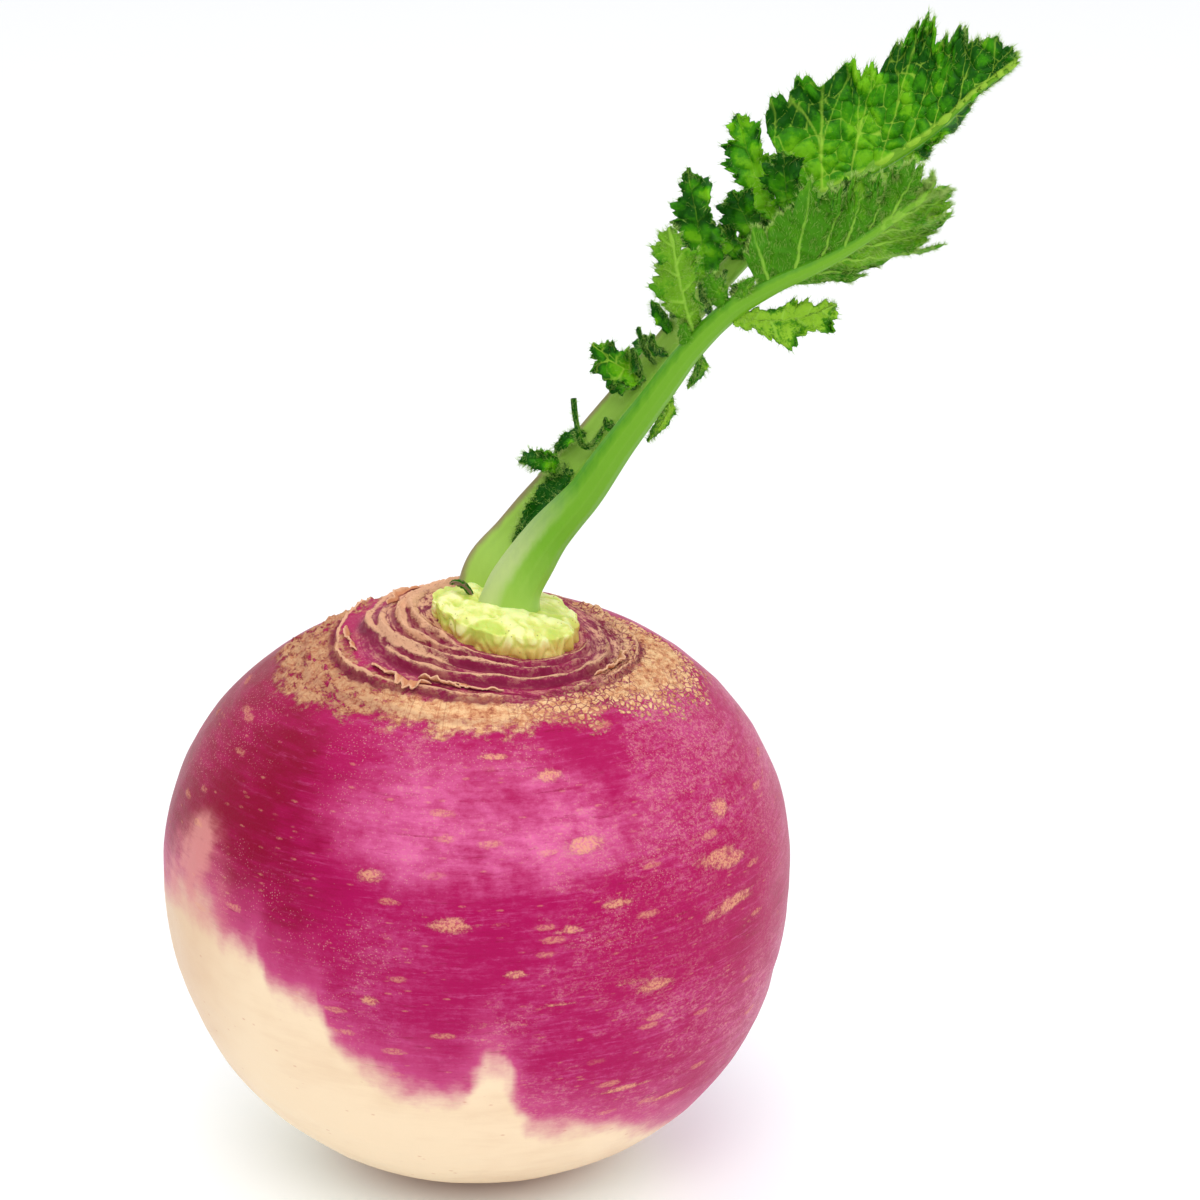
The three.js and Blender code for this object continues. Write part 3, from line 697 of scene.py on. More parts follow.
def scarred_skin(skin, at, look, colour, cork):
    """A colour with what lies round the crown: satin bands, dry folds on both sides,
    grooves darkened with painted shadow at the foot of the lips, and the papery lips. Gives
    the lips' share too."""
    top = at.z.step(78, 80)
    satin = (at.from_crown * -1 + 24).step(0, 2) * (1 - cork) * top
    band = skin.blend(look.groove, look.satin, (at.lines + (at.patch - 0.5) * 0.4).step(0.36, 0.54))
    band = skin.blend(band, look.lip, (at.lines * 0.8 + at.grain * 0.5).step(0.62, 0.78) * 0.6)
    colour = skin.blend(colour, band, satin * 0.85)
    beside = (at.x * -1 - 2).most((at.x - 16) * 0.7) + (at.flakes - 0.5) * 8
    folds = beside.step(-1, 3) * (at.from_crown * -1 + 19.5).step(-1, 1.5)
    dry = skin.blend(look.groove, look.lip, (at.lines + (at.patch - 0.5) * 0.7).step(0.4, 0.6))
    colour = skin.blend(colour, dry, folds * top * 0.85)
    lip = (at.crest * 1.2 + (at.flakes - 0.5) * 1.1 + (at.grain - 0.5) * 0.6).step(0.5, 0.85)
    # Painted shadow: the purple band at the foot of each lip darkens where the lip overhangs it.
    colour = skin.blend(colour, look.groove, (at.groove * (1 - lip) * (at.patch + 0.4)).least(0.85))
    papery = skin.blend(look.lip, look.cork_dark, at.grain.step(0.56, 0.72))
    return skin.blend(colour, papery, lip * 0.9), lip


def skin_finish(look):
    """Cream below and purple above, parted by a ragged slanting edge; a corky shoulder,
    tan lips and purple grooves round the crown; pale lens marks and a frost of dots."""
    skin = Finish("turnip_skin", Specular_IOR_Level=0.1)
    at = skin_patterns(skin)
    above = at.edge + (at.ragged - 0.5) * 9 + (at.fine - 0.5) * 2.4
    purple = above.step(-3.6, 3.6)
    colour = skin.blend(cream_skin(skin, at, look), purple_skin(skin, at, look, above), purple)
    pale = pale_marks(skin, at) * purple
    stipple = skin.noise(skin.mm(2.4, 2.4, 3.0), 2, 0.6).step(0.36, 0.6)
    colour = skin.blend(colour, look.lens, pale.least(0.95) * (stipple * 0.6 + 0.22))
    frost = skin.cells(skin.mm(2.3, 2.3, 2.3)).step(0.32, 0.12)
    shower = (at.clouds * 1.6 + at.flakes * 1.1 + at.z * 0.006).step(1.62, 2.0)
    colour = skin.blend(colour, look.frost, frost * shower * purple * 0.6)
    cork, tan = cork_skin(skin, at, look)
    colour, lip = scarred_skin(skin, at, look, skin.blend(colour, tan, cork), cork)

    rough = cork.most(lip)
    gloss = (rough * 0.4 + 0.36) + (at.mottle - 0.5) * 0.16 + pale * 0.25
    cracks = at.crackle.least(0.15) * 5 * at.right + at.grain + at.rays * 0.8
    height = (at.mottle - 0.5) * 0.4 + cracks * rough + pale * 0.5 + at.streaks * 0.25
    normal = skin.bump(height, 0.24, 0.7)
    return skin.feed(Base_Color=colour, Roughness=gloss, Normal=normal)


# The crown


def crown_surface(share, height, angle):
    """The leaning plate: a low dome on a slanted plane, with cut stalk bases round its rim
    as knobs and chopped lumps over its top."""
    turn = vector(np.cos(angle), np.sin(angle))
    wave = np.cos(15 * angle + 1.3 * np.sin(2 * angle))
    knob = 0.16 * wave + 0.5 * noise(turn * 4, 3) + 0.3 * noise(turn * 9, 4)
    knob = knob * smooth(0.55, 0.9, share)
    radius = share * CROWN_RADIUS + knob
    x = CROWN_X + radius * np.cos(angle)
    y = CROWN_Y + radius * np.sin(angle)
    under = shoulder(radius, angle)[0][..., 2] - 0.4
    flat = vector(x, y)
    near, second = cells(flat * 0.22 + 0.6 * noise(flat * 0.4, 3)[..., None], 5)
    chopped = 0.22 * smooth(0.0, 0.5, second - near) - 0.15 + 0.45 * fractal(flat * 0.32, 9)
    dome = 0.9 * (1 - share * share)
    over = CROWN_TOP + CROWN_LEAN_X * (x - CROWN_X) + CROWN_LEAN_Y * (y - CROWN_Y)
    top = over + dome + 0.5 * knob + chopped * smooth(0, 0.3, height)
    ridge = np.clip(0.5 + chopped, 0, 1)
    wall = vector(angle * 5.2, height * 1.6 + 0.4 * wave)
    near, second = cells(wall + 0.3 * noise(wall, 6)[..., None], 15)
    side = 0.45 * smooth(0.0, 0.5, second - near) - 0.35 + 0.5 * noise(wall * 0.8, 21)
    side = side * smooth(0.75, 0.95, share)
    ridge = np.where(share > 0.97, np.clip(0.5 + side, 0, 1), ridge)
    x = x + side * np.cos(angle) * (1 - height)
    y = y + side * np.sin(angle) * (1 - height)
    return vector(x, y, mix(under, top, height)), ridge


def crown_mesh():
    """Rings from under the plate's middle, out to its edge, up its wall and back in."""
    around, under, wall, over = 260, 6, 18, 70
    angle = np.arange(around)[None, :] * TAU / around
    back_in = np.linspace(0.995, 0.03, over)
    rounded = mix(0.84, 1.0, smooth(1.0, 0.9, back_in))
    share = np.concatenate([np.linspace(0.5, 1, under), np.ones(wall), back_in])
    height = np.concatenate([np.zeros(under), np.linspace(0.05, 0.82, wall), rounded])
    share, height = (np.repeat(column[:, None], around, 1) for column in (share, height))
    rings, ridge = crown_surface(share, height, np.repeat(angle, len(share), 0))
    low, high = rings[0].mean(0)[None], rings[-1].mean(0)[None]
    points = np.concatenate([low, rings.reshape(-1, 3), high])
    marks = {
        "ridge": np.concatenate([[0], ridge.ravel(), [0.5]]),
        "rim": np.concatenate([[0], share.ravel(), [0]]),
        "height": np.concatenate([[0], height.ravel(), [1]]),
    }
    return new_piece("turnip_crown", points, ring_faces(len(rings), around), marks)


def crown_finish(look):
    """Moist pale yellow-green flesh, whiter on the lumps, with painted green shade in the
    hollows, ochre towards the lower rim.
    """
    flesh = Finish("turnip_crown", Subsurface_Weight=0.2, Subsurface_Scale=0.003)
    ridge, rim, height = (flesh.mark(name) for name in ("ridge", "rim", "height"))
    grain = flesh.noise(flesh.mm(1.2, 1.2, 1.2), 4, 0.7)
    blot = flesh.noise(flesh.mm(0.3, 0.3, 0.3), 3)
    colour = flesh.blend(look.crown, look.crown_pale, (ridge + (grain - 0.5) * 0.6).step(0.35, 0.8))
    # Painted shade: the hollows between the lumps turn green.
    colour = flesh.blend(colour, look.crown_hollow_shade, ((1 - ridge) * (blot + 0.3)).step(0.35, 0.7) * 0.7)
    to_right = (flesh.axis(flesh.mm(), "X") - CROWN_X) / CROWN_RADIUS
    worn = (1 - height + (blot - 0.5) * 0.9 + to_right * 0.3).step(0.3, 0.75)
    colour = flesh.blend(colour, look.crown_ochre, worn * rim * 0.85)
    specks = flesh.cells(flesh.mm(0.9, 0.9, 0.9, (4, 4, 4))).step(0.16, 0.06)
    colour = flesh.blend(colour, look.crown_speck, specks * rim.step(0.6, 0.9) * 0.7)
    normal = flesh.bump(grain, 0.25, 0.6)
    return flesh.feed(Base_Color=colour, Roughness=grain * 0.2 + 0.32, Normal=normal)


# The leaves


def curve_through(points):
    """A smooth curve through points, at half tension, as a function of a share of its
    length. Each stretch is a cubic whose ends run parallel to the neighbours' chord."""
    points = np.array(points, float)
    first = 2 * points[0] - points[1]
    last = 2 * points[-1] - points[-2]
    stations = np.concatenate([[first], points, [last]])

    def at(share):
        spot = np.clip(np.asarray(share, float), 0, 1) * (len(points) - 1)
        index = np.minimum(np.floor(spot).astype(int), len(points) - 2)
        part = (spot - index)[..., None]
        before, start, end, after = (stations[index + step] for step in range(4))
        go, come = 0.5 * (end - before), 0.5 * (after - start)
        square = -3 * start + 3 * end - 2 * go - come
        cube = 2 * start - 2 * end + go + come
        return start + part * (go + part * (square + part * cube))

    return at


def arc_through(start, bend, end):
    """A curve from start to end, pulled towards bend, as a function of a share."""
    start, bend, end = (np.array(spot, float) for spot in (start, bend, end))

    def at(share):
        part = np.clip(np.asarray(share, float), 0, 1)[..., None]
        return start * (1 - part) ** 2 + 2 * bend * part * (1 - part) + end * part**2

    return at


def directions(spine, along, face):
    """Forward along a spine, across to the left, and up towards the face."""
    forward = unit(spine(np.minimum(1, along + 0.01)) - spine(np.maximum(0, along - 0.01)))
    across = unit(np.cross(np.array(face, float), forward))
    return forward, across, unit(np.cross(forward, across))


def sampled(figures, share):
    """The value of a list of evenly spaced figures at a share of its length."""
    return np.interp(share, np.linspace(0, 1, len(figures)), figures)


# How a blade is shaped. Reach is its outline as shares of its half width, and sweep turns
# its halves forward in degrees, both at even steps from base to tip. Cuts are its lobes,
# teeth the teeth of each margin, and the depths the shares that they take off. Folds and
# curl bend its halves up in radians. Ruffle, crimp and pucker are waves in millimetres,
# from the widest to the finest. Midrib and vein width are half widths in millimetres, veins
# how many side veins each half has, and show how pale they are. Hairs is how thickly it is
# haired, and hair lean how much a hair on its faces lies down.
PLAIN_LOBE = {
    "left_reach": (0.25, 0.6, 0.95, 1, 0.7, 0.03), "right_reach": (0.25, 0.6, 0.95, 1, 0.7, 0.03),
    "left_sweep": (0, 10, 20, 30, 40, 50), "right_sweep": (0, 10, 20, 30, 40, 50),
    "cuts": 2.5, "cut_depth": 0.34, "teeth": 7, "tooth_depth": 0.32, "fine_depth": 0.2,
    "fold_left": 0.2, "fold_right": 0.2, "curl": 0.25,
    "ruffle": 0.9, "waves": 2.5, "crimp": 1.8, "pucker": 0.28,
    "midrib": 0.22, "vein_width": 0.34, "veins": 4, "show": 0.45,
    "tone_left": 0.0, "hairs": 1, "hair_lean": 0.25, "rows": 72, "columns": (15, 15),
}
TINY_LOBE = {
    **PLAIN_LOBE, "cut_depth": 0.2, "teeth": 4, "ruffle": 0.5, "crimp": 0.8,
    "show": 0.25, "hairs": 2.5, "rows": 44, "columns": (9, 9),
}
SCRAP = {**TINY_LOBE, "crimp": 1.4, "tone": -0.3, "fold_left": 0.7, "fold_right": 0.5}


def lobe(at, bend, tip, left, right, base=PLAIN_LOBE, **own):
    """A side lobe: where it leaves the stalk, what its midrib bends towards, where it ends,
    its half widths, all in millimetres, and what sets it apart from its base."""
    return {**base, "at": at, "bend": bend, "tip": tip, "left": left, "right": right, **own}


def tiny_lobe(at, bend, tip, half=1.6, **own):
    """A small side lobe, as wide on the left as on the right."""
    return lobe(at, bend, tip, half, half, TINY_LOBE, **own)


def scrap(at, bend, tip, half=1.5):
    """A small folded scrap of blade beside a stalk."""
    return lobe(at, bend, tip, half, half, SCRAP)


FRONT_LEAF = {
    "face": (-0.2, 0.9, 0.35),
    "tone": -0.2,
    "channel": 0.25,
    "path": (
        (4.9, -5.5, 90.5), (6.6, -5, 96.5), (11.4, -4.6, 104), (17.3, -5, 111.2), (22.3, -6, 118.8),
        (27.7, -7, 126.5), (32.7, -8, 133.7), (38.8, -8.8, 140.2), (45.3, -9.3, 144.2),
        (53, -9.8, 148), (60, -10.4, 152.6), (67.8, -11.2, 158.7),
    ),
    "half_widths": (5, 4.4, 3.6, 2.9, 2.5, 2.2, 1.95, 1.75, 1.4, 1.1, 0.8, 0.5),
    "from": 0.7,
    "blade": {
        **PLAIN_LOBE, "left": 20.5, "right": 15.3,
        "left_reach": (0.2, 0.72, 1, 0.78, 0.5, 0.08), "right_reach": (0.5, 0.95, 0.92, 0.78, 0.64, 0.08),
        "left_sweep": (55, 54, 52, 50, 56, 75), "right_sweep": (3, 34, 48, 54, 60, 75),
        "cuts": 4, "cut_depth": 0.28, "teeth": 15, "tooth_depth": 0.18, "fine_depth": 0.09,
        "fold_right": 0.3, "ruffle": 1.5, "waves": 3.5, "crimp": 1.6, "pucker": 0.42,
        "midrib": 0.7, "vein_width": 0.22, "veins": 7, "show": 1,
        "tone_left": 1.4, "hairs": 2.6, "hair_lean": 1.1, "rows": 210, "columns": (84, 84),
    },
    "lobes": (
        lobe((33.4, -8, 136.4), (30.9, -12, 144), (29.6, -12, 153.4), 5, 5.6, tone=1.4, hairs=2.5, show=0.8),
        lobe(
            (39.3, -8.7, 139.2), (47, -7.4, 137.2), (54.6, -6, 140.4), 4, 6,
            face=(0.1, -0.8, 0.5), fold_left=0.5, fold_right=0.1, tone=1.2, show=0.9,
        ),
        tiny_lobe((38.5, -8.8, 139.8), (37, -10, 142.5), (35.5, -10, 146), 2.4),
        lobe(
            (28.6, -6.8, 127.4), (31.4, -4.6, 124.8), (26.6, -3.8, 118.8), 1.8, 1.9, TINY_LOBE,
            face=(0.3, -0.9, 0.1),
        ),
        tiny_lobe((33, -7.6, 133.8), (36, -5.6, 131.6), (32.6, -4.6, 127.4), 1.5, face=(0.3, -0.9, 0.1)),
        tiny_lobe((40, -8.6, 140.8), (40.4, -10.6, 143.6), (42, -11.4, 145.6)),
        tiny_lobe((33, -8, 134), (31.8, -9.6, 136), (32, -9.8, 138.6)),
    ),
}

REAR_LEAF = {
    "face": (-0.3, -0.85, 0.4),
    "tone": 0.6,
    "channel": 0.45,
    "path": (
        (0.4, 0.8, 91.6), (1.6, 1.8, 97.2), (6, 3.4, 102.2), (11.6, 4, 108.8), (16.7, 4.5, 115.1),
        (21.5, 5, 121.3), (26.2, 5.5, 127.2), (35, 6.5, 138.3), (42.8, 7.2, 146.6), (49.7, 7.6, 152.6),
        (56.5, 8, 156.3), (63.4, 8, 159.9), (69.5, 7, 164.3), (75.1, 6, 169.7), (81.2, 5, 174.6),
    ),
    "half_widths": (3.4, 3.2, 3.1, 3, 2.8, 2.5, 2.2, 1.9, 1.6, 1.4, 1.2, 1, 0.8, 0.6, 0.4),
    "from": 0.643,
    "blade": {
        **PLAIN_LOBE, "left": 23, "right": 8,
        "left_reach": (0.72, 0.9, 1, 0.72, 0.42, 0.05), "right_reach": (1, 1, 0.7, 0.4, 0.25, 0.1),
        "left_sweep": (11, 36, 46, 52, 62, 75), "right_sweep": (10, 30, 40, 45, 50, 70),
        "cuts": 4, "cut_depth": 0.12, "teeth": 17, "tooth_depth": 0.12, "fine_depth": 0.06,
        "fold_left": 0.12, "fold_right": -1.3, "ruffle": 1.8, "waves": 3, "crimp": 2.0, "pucker": 0.36,
        "midrib": 0.6, "veins": 8, "show": 1, "rows": 260, "columns": (30, 118),
    },
    "lobes": (
        lobe((46, 7.3, 149.6), (42.4, 9.5, 157.4), (40.4, 13, 165.7), 5.4, 5.5, tone=1.0),
        lobe((43.6, 7.2, 147.2), (41.4, 3, 151), (39.4, 2, 156), 4.8, 5, tone=0.5),
        lobe((48.6, 7.5, 151.8), (47.2, 4, 155), (47, 3.4, 161.6), 5, 5.4, tone=0.5),
        lobe((40.6, 7, 144.4), (39.8, 4.5, 147), (37.4, 3.4, 150.6), 3, 3.2),
        lobe((41.8, 7.1, 145.6), (43.4, 3.6, 145.8), (46, 2, 148.4), 2.6, 2.6),
        lobe((36, 6.6, 139), (34.6, 1, 149.8), (32.6, 0, 159.8), 5.1, 5.7, tone=0.55),
        lobe((37.6, 6.8, 141), (38.6, 9, 143.6), (38, 12, 146.8), 2, 2.2),
        lobe((26.4, 5.5, 127), (22.5, 0.5, 128), (18.4, -0.8, 133.2), 4.6, 4.4, tone=0.9, show=0.9, teeth=9),
        lobe((27.4, 5.6, 128.4), (26.4, 8, 128.4), (25.6, 10.6, 131.2), 3.6, 3.6),
        lobe((25.4, 5.4, 126), (23, 3, 126.4), (21, 1.6, 125.2), 2.6, 2.6),
        tiny_lobe((30.6, 6, 132.8), (29, 5, 135.5), (27.2, 4.4, 138.6)),
        tiny_lobe((32.4, 6.2, 135), (30.4, 4, 136), (30, 4, 140), 1.2),
        tiny_lobe(
            (20.8, 4.8, 120.4), (16.4, -1.6, 111), (15.4, 0.4, 124.4), 1.1,
            fold_left=0.8, fold_right=0.8, tone=-1.2,
        ),
        tiny_lobe((17.6, 4.6, 117.6), (15, 2.8, 118.6), (12.4, 3.4, 114.8)),
        tiny_lobe(
            (13, 3.8, 110.6), (12.2, 0.2, 116), (7, 0.2, 114.4), 2.6,
            tone=0.6, crimp=1.6, teeth=10, fine_depth=0.3, hairs=6,
        ),
        lobe(
            (15.8, 4.2, 113.6), (12, 0.4, 110), (6, 1.3, 101.4), 3.2, 2.8, ruffle=0.6, crimp=1.8,
            cut_depth=0.25, teeth=14, tooth_depth=0.4, fine_depth=0.3, tone=-1.0, hairs=5, show=0.2,
        ),
        scrap((30, 5, 130), (27, 2.6, 131), (27.4, 1, 134)),
        scrap((25.6, 4.6, 126), (25.6, 1.4, 129), (24.2, 0.6, 132)),
        scrap((36.6, 6, 136), (35.6, 2.4, 138), (34.4, 1.4, 142)),
        scrap((38, 6, 137.4), (37, 3, 140), (38.4, 2.4, 143.8)),
        scrap((39.6, 6.6, 139.4), (40, 3.4, 140), (41.2, 2.2, 142.2)),
        scrap((33.4, 5.8, 133.4), (33.4, 2.6, 134.6), (31.6, 1.8, 137.4)),
        scrap((22.8, 4.6, 119.6), (20.6, 2, 118.4), (20.2, 1, 121)),
        scrap((28, 5, 128.6), (26, 2, 131), (25.2, 1, 135.2), 0.7),
        lobe((54, 8, 155), (61, 11.5, 154.2), (68, 14, 156.2), 3.8, 4.6),
        lobe((48.2, 7.8, 151.4), (56, 5, 152.8), (63.4, 3.6, 156.4), 4.4, 4.8),
    ),
}
BUD_SPINE = ((0.4, -4.6, 93.4), (-1.6, -4.4, 97.4), (-3.6, -4.8, 96.4))
BUD_FACE = (0, -0.9, 0.4)

# How far a stalk's foot sinks into the crown, and half a bristle's width at its root.
FOOT_SINK = 2.5
HAIR_RADIUS = 0.03


def margin_reach(blade, left, along):
    """How far a blade's half reaches from the midrib: its outline with lobes cut into it,
    and what its rounded teeth, each with three finer ones, take off at the margin."""
    outline = sampled(blade["left_reach"] if left else blade["right_reach"], along)
    full = blade["left"] if left else blade["right"]
    lobes = blade["cuts"] * along + (0.1 if left else 0.55)
    notch = (0.5 + 0.5 * np.cos(TAU * lobes)) ** 3
    lobed = full * outline * (1 - blade["cut_depth"] * notch)
    wobble = 0.4 * noise(vector(along * blade["teeth"] * 0.7, full), 4)
    teeth = blade["teeth"] * along + (0 if left else 0.5) + wobble
    gap = 1 - np.abs(np.sin(np.pi * teeth)) ** 1.1
    fine_gap = 1 - np.abs(np.sin(np.pi * (teeth * 3 + wobble))) ** 1.1
    return lobed, lobed * (blade["tooth_depth"] * gap + blade["fine_depth"] * fine_gap)


def vein_pattern(blade, along, out, spot, length):
    """How much of a vein runs at each spot, from 0 to 1: the midrib, side veins along the
    sweep, forks off them, and a net of finer veins round puckered cells about 3 mm long.
    spot is the place on the flat blade in millimetres, forward and to the left. Gives the
    veins, the domes of the cells and the thick ribs."""
    share = np.abs(out)
    spacing = length / blade["veins"]
    bend = 0.12 * noise(vector(along * blade["veins"] * 1.3, share * 2.5 + np.sign(out)), 31)
    lane = along * blade["veins"] + np.where(out > 0, 0.2, 0.6) + bend * share
    off = np.abs(lane - np.round(lane))
    thick = blade["vein_width"] * (1 - 0.45 * share)
    side = np.exp(-((off * spacing / thick) ** 2)) * (1 - 0.2 * share)
    fork = np.abs(off - 0.42 * smooth(0.25, 1.0, share)) * spacing
    fork = np.exp(-((fork / 0.16) ** 2)) * smooth(0.25, 0.4, share) * 0.8
    near, second = cells(spot * 0.38 + 0.3 * noise(spot * 0.4, 2)[..., None], 13)
    net = np.exp(-(((second - near) / 0.085) ** 2)) * 0.85
    fine_near, fine_second = cells(spot * 1.05, 19)
    fine = np.exp(-(((fine_second - fine_near) / 0.09) ** 2)) * 0.3
    midrib = np.exp(-((spot[..., 1] / blade["midrib"]) ** 2))
    dome = smooth(0.0, 0.7, second - near)
    vein = np.maximum.reduce([side, fork, net, fine, midrib])
    return vein, dome, np.maximum(side, midrib)


def blade_grid(spine, blade, face):
    """A blade's middle surface and its marks. along runs from base to tip, and out from
    the right margin (-1) over the midrib (0) to the left margin (+1). Each half reaches
    out from the midrib, folded up towards the face, curled more towards its margin, swept
    forward like its veins, and ruffled and crimped by waves that grow towards the margin.
    Between the veins the blade puckers towards its face."""
    right, left = blade["columns"]
    out = np.concatenate([np.linspace(-1, 0, right + 1)[:-1], np.linspace(0, 1, left + 1)])
    along = np.linspace(0, 1, blade["rows"] + 1)
    forward, across, up = (part[:, None, :] for part in directions(spine, along, face))
    on_left = out[None, :] > 0
    share = np.abs(out)[None, :]
    column = along[:, None]
    lobed, loss = (
        np.where(on_left, *both)
        for both in zip(margin_reach(blade, True, column), margin_reach(blade, False, column))
    )
    sweeps = (sampled(blade[name], column) for name in ("left_sweep", "right_sweep"))
    sweep = np.radians(np.where(on_left, *sweeps))
    fold = np.where(on_left, blade["fold_left"], blade["fold_right"]) + blade["curl"] * share
    side = np.where(out[None, :] < 0, -1, 1)
    wave = np.sin(TAU * blade["waves"] * column + side)
    length = np.linalg.norm(np.diff(spine(along), axis=0), axis=1).sum()
    rim = column * length + lobed * share * 0.4
    crimp = noise(vector(rim * 0.52, share * 1.4 + side * 9), 23)
    frill = noise(vector(rim * 1.2, share * 2.5 + side * 9), 24)
    size = np.minimum(1, lobed / 4)
    lift = blade["ruffle"] * share**1.5 * size * wave + blade["crimp"] * size * crimp * share**1.6
    lift = lift + 0.5 * blade["crimp"] * size * frill * share**4
    flat = share * lobed - loss * share**4
    points = (
        spine(along)[:, None, :]
        + across * (side * flat * np.cos(fold) * np.cos(sweep))[..., None]
        + up * (flat * np.sin(fold) * np.cos(sweep) + lift)[..., None]
        + forward * (flat * np.sin(sweep))[..., None]
    )
    spot = vector(column * length + flat * np.sin(sweep), side * flat * np.cos(sweep))
    full_along, full_out = np.broadcast_arrays(column, out[None, :])
    vein, dome, rib = vein_pattern(blade, full_along, full_out, spot, length)
    fade = smooth(1.0, 0.85, share) * np.minimum(1, lobed / 3)
    points = points + facing(points) * (blade["pucker"] * (dome - 0.35 * vein) * fade)[..., None]
    half = mix(0.26, 0.13, share) + 0.26 * rib * (1 - share)
    marks = {
        "vein": vein * blade["show"],
        "rib": rib * blade["show"],
        "margin": np.abs(full_out),
        # dome and lift also paint light and shade into the leaf's colour.
        "dome": dome,
        "lift": crimp * share + 0.5 * frill * share**2,
        "along": full_along,
    }
    return points, half, marks


def blade_part(spine, blade, face, tone):
    """A blade as a closed sheet with its marks, ready to join, and what its hairs need. Its
    left half grows lighter than its right one by tone_left."""
    points, half, marks = blade_grid(spine, blade, face)
    body, faces, normal = sheet(points, half)
    on_left = np.arange(points.shape[1]) > blade["columns"][0]
    marks["tone"] = tone + blade["tone_left"] * on_left * smooth(0.1, 0.4, marks["along"])
    marks = {name: np.tile(values.ravel(), 2) for name, values in marks.items()}
    marks["face"] = np.repeat([0.0, 1.0], half.size)
    return (body, faces, marks), (points, normal, half, blade["hairs"], blade["hair_lean"])


def stalk_part(leaf):
    """A stalk: an oval carried along the leaf's path, narrowing as its half widths say,
    hollowed by a channel on the side that faces the crown and ribbed lengthways. Its foot
    widens and sinks into the crown."""
    path = curve_through(leaf["path"])
    rings, around = 260, 60
    along = np.linspace(0, 1, rings)
    forward, across, up = directions(path, along, leaf["face"])
    half = sampled(leaf["half_widths"], along)[:, None]
    angle = np.arange(around)[None, :] * TAU / around
    rise = np.sin(angle)
    channel = leaf["channel"] * np.maximum(0, rise) ** 3
    ribs = 1 + 0.012 * np.cos(11 * angle + 2 * along[:, None]) * smooth(0, 0.15, along)[:, None]
    lumps = 1 + 0.03 * noise(vector(along[:, None] * 22, angle * 0.9), 8)
    foot = 1 + 0.1 * smooth(0.07, 0.0, along)[:, None]
    radius = half * ribs * lumps * foot
    centre = path(along) - forward * (FOOT_SINK * smooth(0.03, 0, along))[:, None]
    rings_at = (
        centre[:, None, :]
        + across[:, None, :] * (radius * np.cos(angle))[..., None]
        + up[:, None, :] * (0.8 * radius * (rise - channel))[..., None]
    )
    points = np.concatenate([centre[:1], rings_at.reshape(-1, 3), path(1.0).reshape(1, 3)])
    groove = smooth(0.2, 0.95, rise) + 0 * half
    rib = (0.5 + 0.5 * np.cos(11 * angle)) + 0 * half
    marks = {
        "along": np.concatenate([[0], np.repeat(along, around), [1]]),
        "groove": np.concatenate([[0], groove.ravel(), [0]]),
        "rib": np.concatenate([[0], rib.ravel(), [0]]),
        "side": np.concatenate([[0], (np.cos(angle) + 0 * half).ravel(), [0]]),
    }
    return points, ring_faces(rings, around), marks


def hair_part(roots, ways, lengths):
    """Bristles: three-sided cones from their roots along their ways, as closed meshes."""
    count = len(roots)
    ways = unit(ways)
    aside = unit(np.cross(ways, np.array([0.31, 0.57, 0.76])))
    other = np.cross(ways, aside)
    turn = np.arange(3) * TAU / 3
    ring = aside[:, None] * np.cos(turn)[:, None] + other[:, None] * np.sin(turn)[:, None]
    base = (roots - ways * 0.12)[:, None] + ring * HAIR_RADIUS
    tip = (roots + ways * lengths[:, None])[:, None]
    points = np.concatenate([base, tip], 1).reshape(-1, 3)
    faces = np.array([[0, 1, 3], [1, 2, 3], [2, 0, 3], [2, 1, 0]])
    faces = (np.arange(count)[:, None, None] * 4 + faces[None]).reshape(-1, 3)
    marks = {"tip": np.tile([0.0, 0.0, 0.0, 1.0], count)}
    return points, [faces], marks


def blade_hairs(random, surfaces, density, edge_share, length, most=400):
    """Bristles scattered over blades, edge_share of them on the margins and the others on
    both faces. Each leans off its surface and away from the midrib. A blade's number grows
    with its extent, up to an extent of most."""
    roots, ways, lengths = [], [], []
    for points, normal, half, share, face_lean in surfaces:
        rows, columns = points.shape[:2]
        extent = np.linalg.norm(np.gradient(points, axis=0), axis=-1).sum() * 0.1
        count = int(density * share * min(extent, most))
        row = random.integers(1, rows - 1, count)
        column = random.integers(1, columns - 1, count)
        edge = random.random(count) < edge_share
        last = np.where(random.random(count) < 0.5, 0, columns - 1)
        column = np.where(edge, last, column)
        side = np.where(random.random(count) < 0.5, 1.0, -1.0)
        off = normal[row, column] * side[:, None]
        inner = np.clip(column + np.where(column < columns / 2, 2, -2), 0, columns - 1)
        away = unit(points[row, column] - points[row, inner])
        jitter = random.normal(0, 0.35, (count, 3))
        lean = np.where(edge, 1.2, face_lean)[:, None]
        roots.append(points[row, column] + off * half[row, column][:, None] * 0.8)
        ways.append(off * np.where(edge, 0.4, 1.0)[:, None] + away * lean + jitter)
        lengths.append(length * random.uniform(0.45, 1.3, count))
    return np.concatenate(roots), np.concatenate(ways), np.concatenate(lengths)


